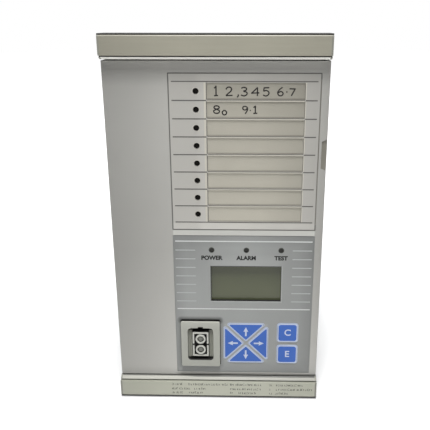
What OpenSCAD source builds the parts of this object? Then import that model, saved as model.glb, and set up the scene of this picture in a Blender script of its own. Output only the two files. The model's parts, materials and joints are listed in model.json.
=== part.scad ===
// Protection relay for flush mounting in a switchgear panel. A tall front carries eight alarm lamps
// with label windows, a small display, six keys and an optical port. A deep sheet case stands behind.
// Millimetres. X runs to the right as seen from the front, Y to the rear and Z up.
// The origin is the centre of the face that the gasket presses against the switchgear panel.

/* [Front] */
// Width of the front, over the ends of the bars
front_w = 148.8; // [147:0.1:160]
// Height of the front, over the mounting frame
front_h = 265.9; // [265:0.1:290]
// Depth of the front, from the panel seat to the faces of the bars
front_d = 24; // [23:0.5:32]
// How far the front panel lies behind the faces of the bars
panel_recess = 4.9; // [4:0.1:6]
// Thickness of the gasket
gasket_t = 2; // [1:0.1:3]
// Thickness of the mounting frame
frame_t = 2; // [1.5:0.1:3]
// Width of the panel seat at the left and right
seat_x = 3.15; // [2.6:0.05:4]
// Width of the panel seat above and below
seat_z = 8.05; // [6.5:0.05:8.8]
// How far the gasket stops short of the edges of its seat
gasket_margin = 0.4; // [0.2:0.05:0.8]

/* [Bars] */
// Height of the flat face of each bar
bar_face_h = 12.6; // [12:0.1:13.4]
// Width of the groove beside the face
bar_groove_w = 0.9; // [0.6:0.1:1.4]
// Depth of the groove
bar_groove_d = 3.2; // [2.4:0.1:4]
// Height of the sloping lip that meets the front panel
bar_lip_h = 1.6; // [1.2:0.1:2]
// How far the front edge of the lip lies behind the face
bar_lip_set = 1.4; // [0.8:0.1:2]
// Thickness of the lips of the mounting frame, above and below the bars
bar_inset = 0.95; // [0.5:0.05:1.4]
// How far the lips of the mounting frame stop short of the faces of the bars
bar_cover = 0.6; // [0.4:0.1:2]
// Wall of the hollow in each bar
bar_wall = 2.2; // [1.8:0.1:3]
// Thickness of the web that takes the screws
bar_web = 7.4; // [7:0.1:8]
// Rounding of the outer edge
bar_edge_r = 0.9; // [0.5:0.1:1.4]
// Thickness of the end caps
cap_t = 1.3; // [1:0.1:2]
// Length of the plugs that hold the end caps
cap_plug = 4; // [3:0.5:8]
// Play around the plugs of the end caps
cap_play = 0.15; // [0.1:0.05:0.3]

/* [Front panel] */
// How far the panel stops short of the ends of the bars
panel_side = 0.3; // [0.1:0.1:1]
// Gap between the panel and the lips of the bars
panel_gap = 0.8; // [0.4:0.1:1]
// Thickness of the panel
panel_t = 3; // [2.7:0.1:4]
// Thickness of the side skirts
skirt_t = 2.4; // [2:0.1:3]
// Rounding of the upright front edges
panel_edge_r = 1; // [0.5:0.1:1.5]
// Height of the bosses that carry the front board
boss_h = 5; // [4.6:0.1:6.4]
// Diameter of the board bosses
boss_d = 6; // [5:0.1:6.4]
// Diameter of the long posts that take the front screws
post_d = 7; // [6:0.1:7.4]

/* [Overlays] */
// Width of the two overlays
overlay_w = 99.3; // [99:0.1:101.5]
// Margin between the overlays and the right edge of the panel
overlay_side = 5.75; // [4:0.05:6]
// Margin above the lamp overlay
overlay_top = 7.8; // [7:0.1:9]
// Height of the lamp overlay, before the overlays share the room that the panel has left
lamp_overlay_h = 106.9; // [105:0.1:107.5]
// Distance between the two overlays
overlay_space = 4.8; // [4:0.1:6]
// Height of the keypad overlay, before the overlays share the room that the panel has left
keypad_h = 110; // [109:0.1:110.8]
// Margin below the keypad overlay
overlay_bottom = 2.7; // [2:0.1:4]
// Thickness of the overlays
overlay_t = 0.3; // [0.3:0.05:0.7]
// Groove around the overlays
overlay_gap = 0.35; // [0.2:0.05:0.6]
// Corner radius of the overlays
overlay_r = 0.8; // [0.5:0.1:2]

/* [Lamps and label] */
// Number of alarm lamps
lamp_rows = 8; // [4:1:8]
// Distance between alarm lamps
lamp_pitch = 12.03; // [11:0.01:12.4]
// Distance of the alarm lamps from the left edge of the overlay
lamp_x = 17.8; // [15:0.1:19]
// Diameter of the lamps
lamp_d = 3.4; // [2.8:0.1:4]
// Play around each lamp
lamp_play = 0.15; // [0.1:0.05:0.4]
// Radius of the dome on each lamp
lamp_dome = 3.2; // [2.4:0.1:6]
// Width of the rim at the foot of each lamp
lamp_foot = 0.5; // [0.3:0.1:0.8]
// How far the lamps lie behind the face
lamp_set = 0.15; // [0.05:0.05:0.5]
// Left edge of the label windows, from the left edge of the overlay
window_x = 25.1; // [24:0.05:27]
// Width of the label windows
window_w = 64; // [60:0.1:65.5]
// Height of the bars between label windows
window_bar = 1.3; // [0.8:0.1:2.5]
// Corner radius of the label windows
window_r = 0.4; // [0.2:0.1:1]
// Thickness of the label slip
slip_t = 0.4; // [0.3:0.05:0.5]
// Play in front of and behind the label slip
slip_play = 0.2; // [0.15:0.05:0.25]
// How far the slip reaches past the windows
slip_margin = 1.6; // [1:0.1:2.5]
// Play at the ends and sides of the slip
slip_side = 0.4; // [0.3:0.05:0.6]
// Height of the finger notch at the right edge
notch_h = 21.5; // [15:0.5:30]
// Width of the finger notch
notch_w = 3.7; // [2.5:0.1:3.9]
// How much shorter the notch is at its inner edge, at each end
notch_slant = 1.6; // [0.5:0.1:3]

/* [Keypad] */
// Centre of the display, lamps and arrow keys from the left edge of the overlay
column_x = 51.6; // [51.5:0.1:52.5]
// Distance between status lamps
status_pitch = 24.7; // [22:0.1:26]
// Status lamps below the top of the keypad overlay
status_z = 10.8; // [9:0.1:12]
// Width of the display window
display_w = 50.5; // [46:0.1:52]
// Height of the display window
display_h = 27.35; // [24:0.1:29]
// Centre of the display below the top of the keypad overlay
display_z = 37; // [36:0.1:38]
// Width of the display frame around the window
display_rim = 2; // [1.5:0.1:3]
// How far the display glass reaches past the window
glass_margin = 4; // [3.2:0.1:4.5]
// Thickness of the display glass
glass_t = 2.6; // [2:0.1:3]
// Centre of the keys and the port above the foot of the keypad overlay
keys_z = 24.8; // [24.4:0.1:25.2]
// Size of the arrow pad
pad_size = 32.5; // [30:0.1:33]
// Distance from the middle of the pad to the points of the arrow keys, before rounding
pad_apex = 1.7; // [1.6:0.1:2.4]
// Corner radius of the arrow keys
pad_r = 1.1; // [0.8:0.1:1.5]
// Centre of the square keys from the left edge of the overlay
square_x = 82.55; // [82.5:0.05:83.5]
// Size of the square keys
square_size = 14.9; // [13:0.1:15.2]
// Distance between the square keys
square_pitch = 18.1; // [17.4:0.1:18.6]
// Corner radius of the square keys
square_r = 1.6; // [1:0.1:3]
// Play around each key
key_play = 0.2; // [0.15:0.05:0.3]
// How far the keys stand out of the face
key_proud = 0.4; // [0.2:0.1:1]
// How far the flange of a key reaches under the panel
key_flange = 0.8; // [0.6:0.05:0.9]
// Thickness of the flange of a key
key_flange_t = 1; // [0.8:0.1:1.4]
// Travel of the keys
key_travel = 0.5; // [0.3:0.1:0.6]
// Play left between a pressed key and its switch
switch_play = 0.1; // [0.05:0.05:0.3]
// Diameter of the stem of a key
stem_d = 4; // [3:0.1:5]
// Size of the key switches
switch_size = 6.2; // [5:0.1:6.6]
// Height of the key switches
switch_t = 1.4; // [1:0.1:1.6]

/* [Optical port] */
// Centre of the port from the left edge of the overlay
port_x = 17.9; // [17.8:0.1:18.6]
// Width of the port bezel
port_w = 28.8; // [27:0.1:29.2]
// Height of the port bezel
port_h = 37.9; // [36:0.1:38.4]
// How far the bezel stands out of the face
port_proud = 2.1; // [1:0.1:3]
// Outer corner radius of the bezel
port_r = 1.2; // [0.8:0.1:2]
// Play around the bezel
port_play = 0.4; // [0.2:0.05:0.6]
// Further gap above the bezel
port_gap = 0.8; // [0.4:0.1:1]
// Width of the opening of the port
port_open_w = 19.1; // [18:0.1:20]
// Height of the opening of the port
port_open_h = 26.2; // [25:0.1:27]
// Corner radius of the opening
port_open_r = 3; // [2:0.1:4]
// Width of the notch above the opening
port_notch_w = 3.8; // [2:0.1:5]
// Height of the notch above the opening
port_notch_h = 1; // [0.6:0.1:1.6]
// Flange that holds the bezel behind the panel
port_flange = 1.2; // [0.8:0.1:1.2]
// Thickness of the floor of the port
port_floor = 1.4; // [1:0.1:2]
// Width of the port body
body_w = 11.8; // [11:0.1:12]
// Height of the port body
body_h = 19.95; // [19:0.05:20.5]
// How far the port body lies behind the front of the bezel
body_set = 0.5; // [0.2:0.1:2]
// How far the middle of the port body lies below the middle of the port
body_drop = 0.6; // [0:0.1:1]
// Wall of the cell of the port body
cell_wall = 1.2; // [1:0.1:1.4]
// Depth of the cell
cell_d = 4; // [3:0.1:5]
// Width of the slot that parts the wall of the cell at mid height
cell_slot = 0.8; // [0.5:0.1:1.2]
// Distance between the two lenses
lens_pitch = 8.8; // [8.6:0.1:9]
// Outer diameter of the lens tubes
tube_d = 7.4; // [7:0.1:7.5]
// Diameter of the lenses
lens_d = 4.9; // [4.4:0.1:5.2]
// Height of the lens seats above the floor of the cell
lens_seat = 1; // [0.6:0.1:1.4]
// How far the lens tubes stand above the floor of the cell
tube_h = 4.4; // [3.5:0.1:5]

/* [Screws] */
// Diameter of the small screws
screw_d = 3; // [2.5:0.1:3.2]
// Head diameter of the small screws
screw_head_d = 5.4; // [5:0.1:5.6]
// Head height of the small screws
screw_head_h = 2.2; // [1.6:0.1:2.6]
// Length of the small screws in the part that they hold
screw_grip = 7; // [5:0.1:8]
// Length of the board screws in their bosses
board_screw_grip = 4; // [3:0.1:4.2]
// Diameter of the board screws
board_screw_d = 2.2; // [2:0.1:2.6]
// Play between a screw and its hole
screw_play = 0.05; // [0.03:0.01:0.2]
// Distance of the outer bar screws from the middle
bar_screw_x = 50; // [30:1:56]
// Distance of the bar screws from the inner edge of the bar
bar_screw_up = 3; // [2.6:0.1:3.4]
// Distance of the posts from the side edges of the panel
post_x = 10.6; // [10.3:0.1:10.9]
// Height of the upper posts above the middle of the front board
post_up = 38; // [30:1:80]
// Depth of the lower posts below the middle of the front board
post_down = 60; // [50:1:62]
// Extra depth of a screw hole past the tip
screw_spare = 0.8; // [0.3:0.1:1]
// Head height of the board screws
board_head_h = 1.6; // [1.2:0.1:2]
// Room between a post and the front board
post_room = 0.3; // [0.2:0.1:0.5]

/* [Case] */
// Length of the case behind the panel seat
case_d = 190; // [176:1:260]
// Thickness of the sheet
sheet_t = 1.2; // [1:0.1:1.5]
// Width of the folded lips
lip_w = 10; // [9:0.1:11]
// Outer radius of the bends
bend_r = 2; // [1.6:0.1:3]
// Thickness of the rear plate
rear_t = 1.5; // [1.2:0.1:2]
// Play around the rear plate
rear_play = 0.2; // [0.1:0.05:0.4]
// Number of ventilation slots in each field
vent_count = 5; // [3:1:6]
// Distance between ventilation slots
vent_pitch = 6; // [5:0.5:7]
// Width of a ventilation slot
vent_w = 3; // [2:0.1:3.5]
// Length of a ventilation slot
vent_l = 34; // [20:1:40]
// First row of slots behind the front edge of the boards
vent_y = 36; // [30:1:44]
// Distance of the bracket nuts behind the panel seat
bracket_y = 42; // [30:1:60]
// Distance of the bracket nuts above and below the middle
bracket_z = 90; // [60:1:100]
// Bore of the bracket nuts
bracket_bore = 4.2; // [3.3:0.1:5]
// Diameter of the bracket nuts
bracket_nut_d = 9; // [8:0.1:11]
// Depth of the bracket nuts inside the case
bracket_nut_l = 5; // [4:0.1:6]

/* [Boards] */
// Thickness of the circuit boards
board_t = 1.6; // [1.2:0.1:2]
// Left face of the measuring board from the left wall of the case
measuring_x = 12.05; // [10:0.05:14]
// Left face of the supply board from the middle of the case
supply_x = -8; // [-12:0.5:-4]
// Left face of the processor board from the right wall of the case
processor_x = 32.05; // [31:0.05:34]
// Front edge of the upright boards
board_front = 30; // [28:0.5:36]
// Distance of the upright boards from the rear plate
board_rear = 2.9; // [2.9:0.1:5]
// Width and height of the card guides
guide_size = 8; // [7:0.1:9]
// Depth of the slot in a card guide
guide_slot = 4; // [3:0.1:5]
// Play of a board in its guides
guide_play = 0.15; // [0.1:0.05:0.3]
// Front board beyond the left edge of the overlays
front_board_left = 8; // [7:0.1:9]
// Front board bosses from the left edge of the front board
front_board_inset = 4; // [3.4:0.1:4.4]
// Width of the front board
front_board_w = 106; // [105:0.1:106.5]
// Height of the front board
front_board_h = 216; // [210:1:217]
// Chips behind the front edge of the processor board
chip_y = 50; // [40:1:70]
// Size of the processor
chip_size = 28; // [20:1:36]
// Height of the chips
chip_t = 3; // [2:0.1:4]
// Length of the memory chips
memory_l = 18; // [14:0.5:22]
// Width of the memory chips
memory_w = 12; // [8:0.5:14]
// Distance between chips
chip_gap = 8; // [4:0.5:12]
// Distance of the linking board from the upright boards
link_gap = 6.4; // [5:0.1:8]
// Height of the linking board
link_h = 120; // [100:1:160]
// Height of the board connectors
link_socket_h = 90; // [60:1:95]
// Width of the board connectors
link_socket_w = 8; // [6:0.1:10]
// Width of the ribbon cable
ribbon_w = 25; // [20:0.5:40]
// Thickness of the ribbon cable
ribbon_t = 1; // [0.8:0.1:1.4]
// Height of the ribbon sockets above their boards
ribbon_socket_t = 5; // [4:0.1:6]
// Sideways step of the ribbon cable
ribbon_step = 8; // [0:0.5:10]

/* [Transformers] */
// Number of transformers in each column
transformer_rows = 4; // [2:1:4]
// Distance between transformers
transformer_pitch = 50; // [44:1:52]
// Depth of the first column behind the front edge of the board
transformer_y = 46; // [40:1:50]
// Distance between the two columns
transformer_step = 44; // [40:1:50]
// Stack of the core
core_stack = 18; // [14:0.5:20]
// Width of the middle leg
core_leg = 10; // [8:0.5:12]
// Width of the outer legs
core_side = 5; // [4:0.5:6]
// Width of the windows
core_window = 6; // [5:0.5:7]
// Height of the windows
core_window_h = 24; // [20:0.5:26]
// Play around the coil
coil_play = 0.1; // [0.05:0.05:0.3]

/* [Supply] */
// Diameter of the storage capacitors
capacitor_d = 22; // [18:0.5:25]
// Length of the storage capacitors
capacitor_l = 35; // [25:0.5:40]
// Width of the supply transformer
supply_block_w = 38; // [30:0.5:44]
// Height of the supply transformer
supply_block_h = 34; // [28:0.5:40]
// Depth of the supply transformer
supply_block_t = 27; // [20:0.5:32]
// Height of the heat sink
sink_h = 60; // [40:1:64]
// Depth of the heat sink
sink_w = 32; // [20:1:40]
// Reach of the fins
sink_t = 24; // [16:0.5:30]
// Number of fins
sink_fins = 6; // [4:1:7]
// Thickness of a fin
sink_fin_t = 2; // [1.5:0.1:2.5]
// Length of an output relay
relay_l = 29; // [24:0.5:30]
// Width of an output relay
relay_w = 12.8; // [10:0.1:14]
// Height of an output relay
relay_t = 16; // [12:0.5:25]
// Number of output relays in each column
relay_rows = 4; // [2:1:4]
// Distance between output relays
relay_gap = 4; // [2:0.5:5]
// Output relays behind the front edge of the board
relay_y = 58; // [55:1:70]
// Room between the output relays and the card guide above them
relay_foot = 12.5; // [8:0.5:18]
// Supply transformer behind the front edge of the board
supply_block_y = 18; // [14:1:24]
// Depth of the supply parts below the middle
supply_foot = 90; // [80:1:100]
// Height of the crown on the supply transformer
supply_crown = 1.5; // [1:0.1:3]
// First capacitor behind the front edge of the board
capacitor_y = 82; // [80:1:86]
// Distance between capacitors
capacitor_gap = 1; // [0.5:0.1:2]
// Heat sink behind the front edge of the board
sink_y = 20; // [16:1:24]
// Depth of the heat sink below the middle
sink_foot = 30; // [24:1:40]
// Thickness of the base of the heat sink
sink_base = 4; // [3:0.1:6]

/* [Rear terminals] */
// How far the terminals stand out behind the case
terminal_proud = 21; // [18:0.5:26]
// Number of measuring terminals
measuring_count = 18; // [10:1:19]
// Distance between measuring terminals
measuring_pitch = 10; // [9:0.1:10.5]
// Length of the measuring block past its outer terminals
measuring_end = 4; // [3:0.5:6]
// Width of the measuring block
measuring_w = 26; // [24:0.5:28]
// Depth of the measuring block inside the case
measuring_in = 12; // [8:0.5:16]
// Thickness of the barriers between measuring terminals
barrier_t = 1.2; // [1:0.1:1.6]
// Height of the barriers
barrier_h = 2; // [1.5:0.1:3]
// Size of the wire openings of the measuring block
measuring_wire = 3.8; // [3:0.1:3.9]
// Head diameter of the clamp screws
clamp_head_d = 6.2; // [5.6:0.1:6.6]
// Number of plug terminals
plug_count = 24; // [12:1:30]
// Distance between plug terminals
plug_pitch = 5.08; // [5:0.01:5.1]
// Length of the plug past its outer terminals
plug_end = 2.5; // [2:0.1:4]
// Width of the plug and its header
plug_w = 13; // [12:0.1:14]
// Wall of the header
header_wall = 1.2; // [1:0.1:1.5]
// Depth of the header inside the case
header_in = 10; // [9:0.1:14]
// How far the header stands out of the rear plate
header_out = 2; // [1:0.1:4]
// Play between the plug and its header
plug_play = 0.3; // [0.25:0.05:0.4]
// Diameter of the header pins
pin_d = 1; // [0.8:0.1:1.2]
// Free length of the header pins
pin_l = 6; // [4:0.1:6.4]
// Size of the wire openings of the plug
plug_wire = 3.4; // [2.8:0.1:3.6]
// Head diameter of the plug screws
plug_screw_d = 3.4; // [2.8:0.1:3.6]
// Height of the serial port above the middle
serial_z = 72; // [60:1:85]
// Height of the fibre ports above the middle
fibre_z = 16; // [5:1:30]
// Distance between the fibre ports
fibre_pitch = 26; // [22:1:40]
// Diameter of the earth stud
earth_d = 6; // [5:0.5:8]
// Depth of the thread that the earth nut takes up
earth_thread = 0.5; // [0.4:0.05:0.7]
// Depth of the earth stud below the middle
earth_z = 88; // [70:1:98]
// Length of the earth stud behind the case
earth_l = 19; // [16:0.5:21]
// Thickness of the earth washer
earth_washer_t = 1.2; // [0.8:0.1:2]
// Depth of the clamp screws below the barriers
clamp_set = 5; // [4:0.1:7]
// Height of the clamp screw heads
clamp_head_h = 3; // [2:0.1:3.6]
// Diameter of the clamp screws
clamp_d = 4; // [3:0.1:4.6]
// Length of the clamp screws
clamp_l = 9; // [7:0.5:12]
// Depth of the wire openings
wire_depth = 8; // [6:0.5:12]
// Depth of the plug screws below the face of the plug
plug_screw_set = 3; // [2.4:0.1:4]
// Length of the plug screws
plug_screw_l = 4; // [3:0.1:6]
// Thickness of the base of the header
header_floor = 3; // [2:0.1:4]
// Width of the serial port flange
serial_flange_w = 12.5; // [12:0.1:13]
// Height of the serial port flange
serial_flange_h = 31; // [30.5:0.1:32]
// Thickness of the serial port shell
serial_shell_t = 0.4; // [0.3:0.05:0.6]
// How far the serial port stands out
serial_l = 6; // [5:0.1:8]
// Half width of the serial port
serial_half = 4; // [3.6:0.1:4.2]
// Half height of the serial port on its short side
serial_short = 7.2; // [7:0.1:7.4]
// Half height of the serial port on its long side
serial_long = 8.4; // [8.2:0.1:8.6]
// Corner radius of the serial port
serial_r = 1.6; // [1:0.1:2]
// Depth of the serial port inside the case
serial_in = 10; // [6:0.5:14]
// Distance between contacts of the serial port
serial_pitch = 2.76; // [2.7:0.01:2.8]
// Distance of the jack screws from the middle of the serial port
serial_screw = 12.5; // [12.3:0.1:12.7]
// Diameter of the jack screws
jack_d = 3; // [2.6:0.1:3.2]
// Size of the jack screws over their flats
jack_flats = 5; // [4.6:0.1:5.4]
// Length of the heads of the jack screws
jack_l = 5; // [4:0.1:6]
// Size of the fibre ports
fibre_size = 13; // [11:0.1:14]
// Depth of the fibre ports inside the case
fibre_in = 14; // [8:0.5:16]
// How far the fibre ports stand out
fibre_l = 13; // [10:0.5:16]
// Diameter of the nose of the fibre ports
fibre_d = 9.6; // [8:0.1:10]
// Bore of the fibre ports
fibre_bore = 2.6; // [2.2:0.1:3.2]

/* [Hidden] */
$fn = 64;
eps = 0.01;
far = 400;
y_gasket = -gasket_t;
y_frame = y_gasket - frame_t;
y_bars = -front_d;
y_panel = y_bars + panel_recess;
y_floor = y_panel + overlay_t;
y_back = y_panel + panel_t;
y_board = y_back + boss_h;
y_board_back = y_board + board_t;
bar_h = bar_face_h + bar_groove_w + bar_lip_h;
bar_d = front_d - gasket_t - frame_t;
bar_z = front_h / 2 - bar_inset - bar_h;
bar_screw_z = bar_z + bar_screw_up;
panel_w = front_w - 2 * panel_side;
panel_h = 2 * (bar_z - panel_gap);
overlay_x0 = panel_w / 2 - overlay_side - overlay_w;
overlay_x1 = overlay_x0 + overlay_w;
lamp_top = panel_h / 2 - overlay_top;
room = panel_h - overlay_top - lamp_overlay_h - overlay_space - keypad_h - overlay_bottom;
stretch = room / 2;
lamp_h = lamp_overlay_h + stretch;
row_pitch = lamp_pitch + stretch / lamp_rows;
lamp_mid = lamp_top - lamp_h / 2;
keypad_top = lamp_top - lamp_h - overlay_space;
keypad_foot = keypad_top - keypad_h - stretch;
keypad_mid = (keypad_top + keypad_foot) / 2;
keys_mid = keypad_foot + keys_z;
display_mid = keypad_top - display_z - stretch / 2;
status_at = keypad_top - status_z - stretch / 6;
column_mid = overlay_x0 + column_x;
window_mid = overlay_x0 + window_x + window_w / 2;
window_h = row_pitch - window_bar;
slip_x0 = overlay_x0 + window_x - slip_margin;
slip_x1 = panel_w / 2 - slip_side;
slip_h = lamp_rows * row_pitch + 2 * slip_margin;
pocket_d = slip_t + 2 * slip_play;
notch_edge = [[-notch_w, notch_h / 2 - notch_slant], [0, notch_h / 2], [1, notch_h / 2]];
case_w = front_w - 2 * seat_x;
case_h = front_h - 2 * seat_z;
inner_w = case_w - 2 * sheet_t;
inner_h = case_h - 2 * sheet_t;
rear_front = case_d - rear_t;
board_end = rear_front - sheet_t - board_rear;
guide_z = inner_h / 2 - guide_size;
board_h = 2 * (guide_z + guide_slot - guide_play);
front_board_x0 = overlay_x0 - front_board_left;
front_board_mid = (lamp_top + keypad_foot) / 2;
front_board_z = (front_board_h + room) / 2;
post_at = panel_w / 2 - post_x;
boss_x = [front_board_x0 + front_board_inset, post_at];
boss_z = [front_board_z - front_board_inset, 0, front_board_inset - front_board_z];
post_z = [post_up + stretch, -post_down - stretch];
posts = [for (x = [-post_at, post_at], z = post_z) [x, front_board_mid + z]];
bosses = [for (x = boss_x, z = boss_z) [x, front_board_mid + z]];
bar_screws = [for (x = [-1, 0, 1], s = [-1, 1]) [x * bar_screw_x, s * bar_screw_z]];
rear_screw_x = inner_w / 2 - lip_w / 2;
rear_screw_z = inner_h / 2 - lip_w / 2;
rear_screws_at = [
    for (x = [-1, 0, 1], z = [-1, 0, 1])
        if (x != 0 || z != 0)
            [x * rear_screw_x, z * rear_screw_z]
];
link_back = board_front - link_gap;
link_front = link_back - board_t;
measuring_at = measuring_x - inner_w / 2;
processor_at = inner_w / 2 - processor_x;
board_faces = [measuring_at, supply_x, processor_at];
terminal_y = case_d + terminal_proud;
measuring_l = measuring_count * measuring_pitch + 2 * measuring_end;
measuring_x0 = measuring_at + board_t;
plug_l = plug_count * plug_pitch + 2 * plug_end;
plug_x0 = supply_x + board_t;
plug_mid = plug_x0 + plug_w / 2;
header_base = case_d - header_in + header_floor;
earth_head_t = earth_d * 0.65;
earth_core = earth_d - 2 * earth_thread;
earth_flats = earth_d * 1.65;
earth_nut_t = earth_d * 0.8;
earth_free = case_d + earth_washer_t + earth_nut_t;
serial_hole_w = 2 * (serial_half + serial_shell_t + rear_play);
serial_hole_h = 2 * (serial_long + serial_shell_t + rear_play);
terminal_face = terminal_y - barrier_h;
serial_x = processor_at + board_t + serial_flange_w / 2 + rear_play;
fibre_x = processor_at + board_t + fibre_size / 2 + 2 * rear_play;
earth_x = processor_at + board_t + earth_d * 1.5;

function unit(v) = v / norm(v);
function corner_cos(a, p, b) = unit(a - p) * unit(b - p);
function corner_run(a, p, b, r) = r * sqrt((1 + corner_cos(a, p, b)) / (1 - corner_cos(a, p, b)));
function corner_mid(a, p, b, r) =
    p + unit(unit(a - p) + unit(b - p)) * r / sqrt((1 - corner_cos(a, p, b)) / 2);

// Convex outline with round corners
module rounded(pts, r) {
    n = len(pts);
    polygon([
        for (i = [0:n - 1])
            let (a = pts[(i + n - 1) % n], p = pts[i], b = pts[(i + 1) % n], t = corner_run(a, p, b, r))
                each [p + unit(a - p) * t, p + unit(b - p) * t]
    ]);
    for (i = [0:n - 1]) {
        translate(corner_mid(pts[(i + n - 1) % n], pts[i], pts[(i + 1) % n], r))
            circle(r = r);
    }
}

module rounded_box(w, h, r) {
    rounded([[-w / 2, -h / 2], [w / 2, -h / 2], [w / 2, h / 2], [-w / 2, h / 2]], r);
}

// Outline drawn in X and Z, made solid from y0 back to y1
module slab(y0, y1) {
    translate([0, y1, 0])
        rotate([90, 0, 0])
            linear_extrude(y1 - y0)
                children();
}

// Outline drawn in Y and Z, made solid from x0 to x1
module across(x0, x1) {
    translate([x0, 0, 0])
        rotate([90, 0, 90])
            linear_extrude(x1 - x0)
                children();
}

// Round rod along Y
module rod(x, z, d, y0, y1) {
    translate([x, y1, z])
        rotate([90, 0, 0])
            cylinder(d = d, h = y1 - y0);
}

// Six-sided rod along Y, sized over its flats
module hex_rod(x, z, flats, y0, y1) {
    translate([x, y1, z])
        rotate([90, 0, 0])
            cylinder(d = flats / cos(30), h = y1 - y0, $fn = 6);
}

// Box from one corner to the other
module block(a, b) {
    translate(a)
        cube(b - a);
}

// Screw along Y with its head at the rear, under the head at y_seat
module screw_from_rear(x, z, d, head_d, head_h, y_tip, y_seat) {
    difference() {
        union() {
            rod(x, z, d, y_tip, y_seat + eps);
            rod(x, z, head_d, y_seat, y_seat + head_h);
        }
        block([x - head_d, y_seat + head_h / 2, z - head_h / 4],
              [x + head_d, y_seat + head_h + 1, z + head_h / 4]);
    }
}

module bar_outline() {
    difference() {
        polygon([
            [panel_recess, 0],
            [bar_lip_set, bar_lip_h],
            [bar_groove_d, bar_lip_h],
            [bar_groove_d, bar_lip_h + bar_groove_w],
            [0, bar_lip_h + bar_groove_w],
            [0, bar_h],
            [bar_d, bar_h],
            [bar_d, 0],
        ]);
        translate([0, bar_h - bar_edge_r])
            difference() {
                translate([-1, 0])
                    square([bar_edge_r + 1, bar_edge_r + 1]);
                translate([bar_edge_r, 0])
                    circle(r = bar_edge_r);
            }
    }
}

module bar_hollow(play) {
    translate([bar_wall + play, bar_web + play])
        square([bar_d, bar_h - bar_wall - bar_web - 2 * play]);
}

module bar() {
    difference() {
        translate([0, y_bars, bar_z])
            across(-front_w / 2 + cap_t, front_w / 2 - cap_t)
                difference() {
                    bar_outline();
                    bar_hollow(0);
                }
        for (p = bar_screws) {
            rod(p[0], abs(p[1]), screw_d + 2 * screw_play, y_frame - screw_grip - screw_spare, y_frame + 1);
        }
    }
}

module top_bar() {
    color("#a9a598")
        bar();
}

module bottom_bar() {
    color("#a9a598")
        mirror([0, 0, 1])
            bar();
}

module bar_end_cap() {
    translate([0, y_bars, bar_z]) {
        across(front_w / 2 - cap_t, front_w / 2)
            bar_outline();
        across(front_w / 2 - cap_t - cap_plug, front_w / 2 - cap_t + eps)
            intersection() {
                bar_hollow(cap_play);
                square([bar_d - 1, bar_h]);
            }
    }
}

module bar_end_caps() {
    color("#8f8f8c")
        for (x = [0, 1], z = [0, 1]) {
            mirror([x, 0, 0])
                mirror([0, 0, z])
                    bar_end_cap();
        }
}

// Outlines in X and Z that the overlays, the panel and the keys share
module lamp_field(grow) {
    translate([overlay_x0 + overlay_w / 2, lamp_mid])
        rounded_box(overlay_w + 2 * grow, lamp_h + 2 * grow, overlay_r + grow);
}

module keypad_field(grow) {
    translate([overlay_x0 + overlay_w / 2, keypad_mid])
        rounded_box(overlay_w + 2 * grow, keypad_top - keypad_foot + 2 * grow, overlay_r + grow);
}

module alarm_spots() {
    for (k = [0:lamp_rows - 1]) {
        translate([overlay_x0 + lamp_x, lamp_mid + (k - (lamp_rows - 1) / 2) * row_pitch])
            children();
    }
}

module status_spots() {
    for (k = [-1, 0, 1]) {
        translate([column_mid + k * status_pitch, status_at])
            children();
    }
}

module display_area(grow) {
    translate([column_mid - display_w / 2 - grow, display_mid - display_h / 2 - grow])
        square([display_w + 2 * grow, display_h + 2 * grow]);
}

module port_area(grow) {
    translate([overlay_x0 + port_x, keys_mid])
        rounded_box(port_w + 2 * grow, port_h + 2 * grow, port_r + grow);
}

module bezel_area() {
    translate([overlay_x0 + port_x, keys_mid - port_gap / 2])
        rounded_box(port_w, port_h - port_gap, port_r);
}

module arrow_key_area(turn, grow) {
    apex = pad_apex - grow * sqrt(2);
    edge = pad_size / 2 + grow;
    translate([column_mid, keys_mid])
        rotate(turn)
            rounded([[0, apex], [edge - apex, edge], [apex - edge, edge]], pad_r + grow);
}

module square_key_area(side, grow) {
    translate([overlay_x0 + square_x, keys_mid + side * square_pitch / 2])
        rounded_box(square_size + 2 * grow, square_size + 2 * grow, square_r + grow);
}

module key_areas(grow) {
    for (turn = [0:90:270]) {
        arrow_key_area(turn, grow);
    }
    for (side = [-1, 1]) {
        square_key_area(side, grow);
    }
}

module arrow_spot(turn) {
    reach = pad_apex + (pad_size / 2 - pad_apex) * 2 / 3;
    translate([column_mid, keys_mid])
        rotate(turn)
            translate([0, reach])
                rotate(-turn)
                    children();
}

module square_spot(side) {
    translate([overlay_x0 + square_x, keys_mid + side * square_pitch / 2])
        children();
}

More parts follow.
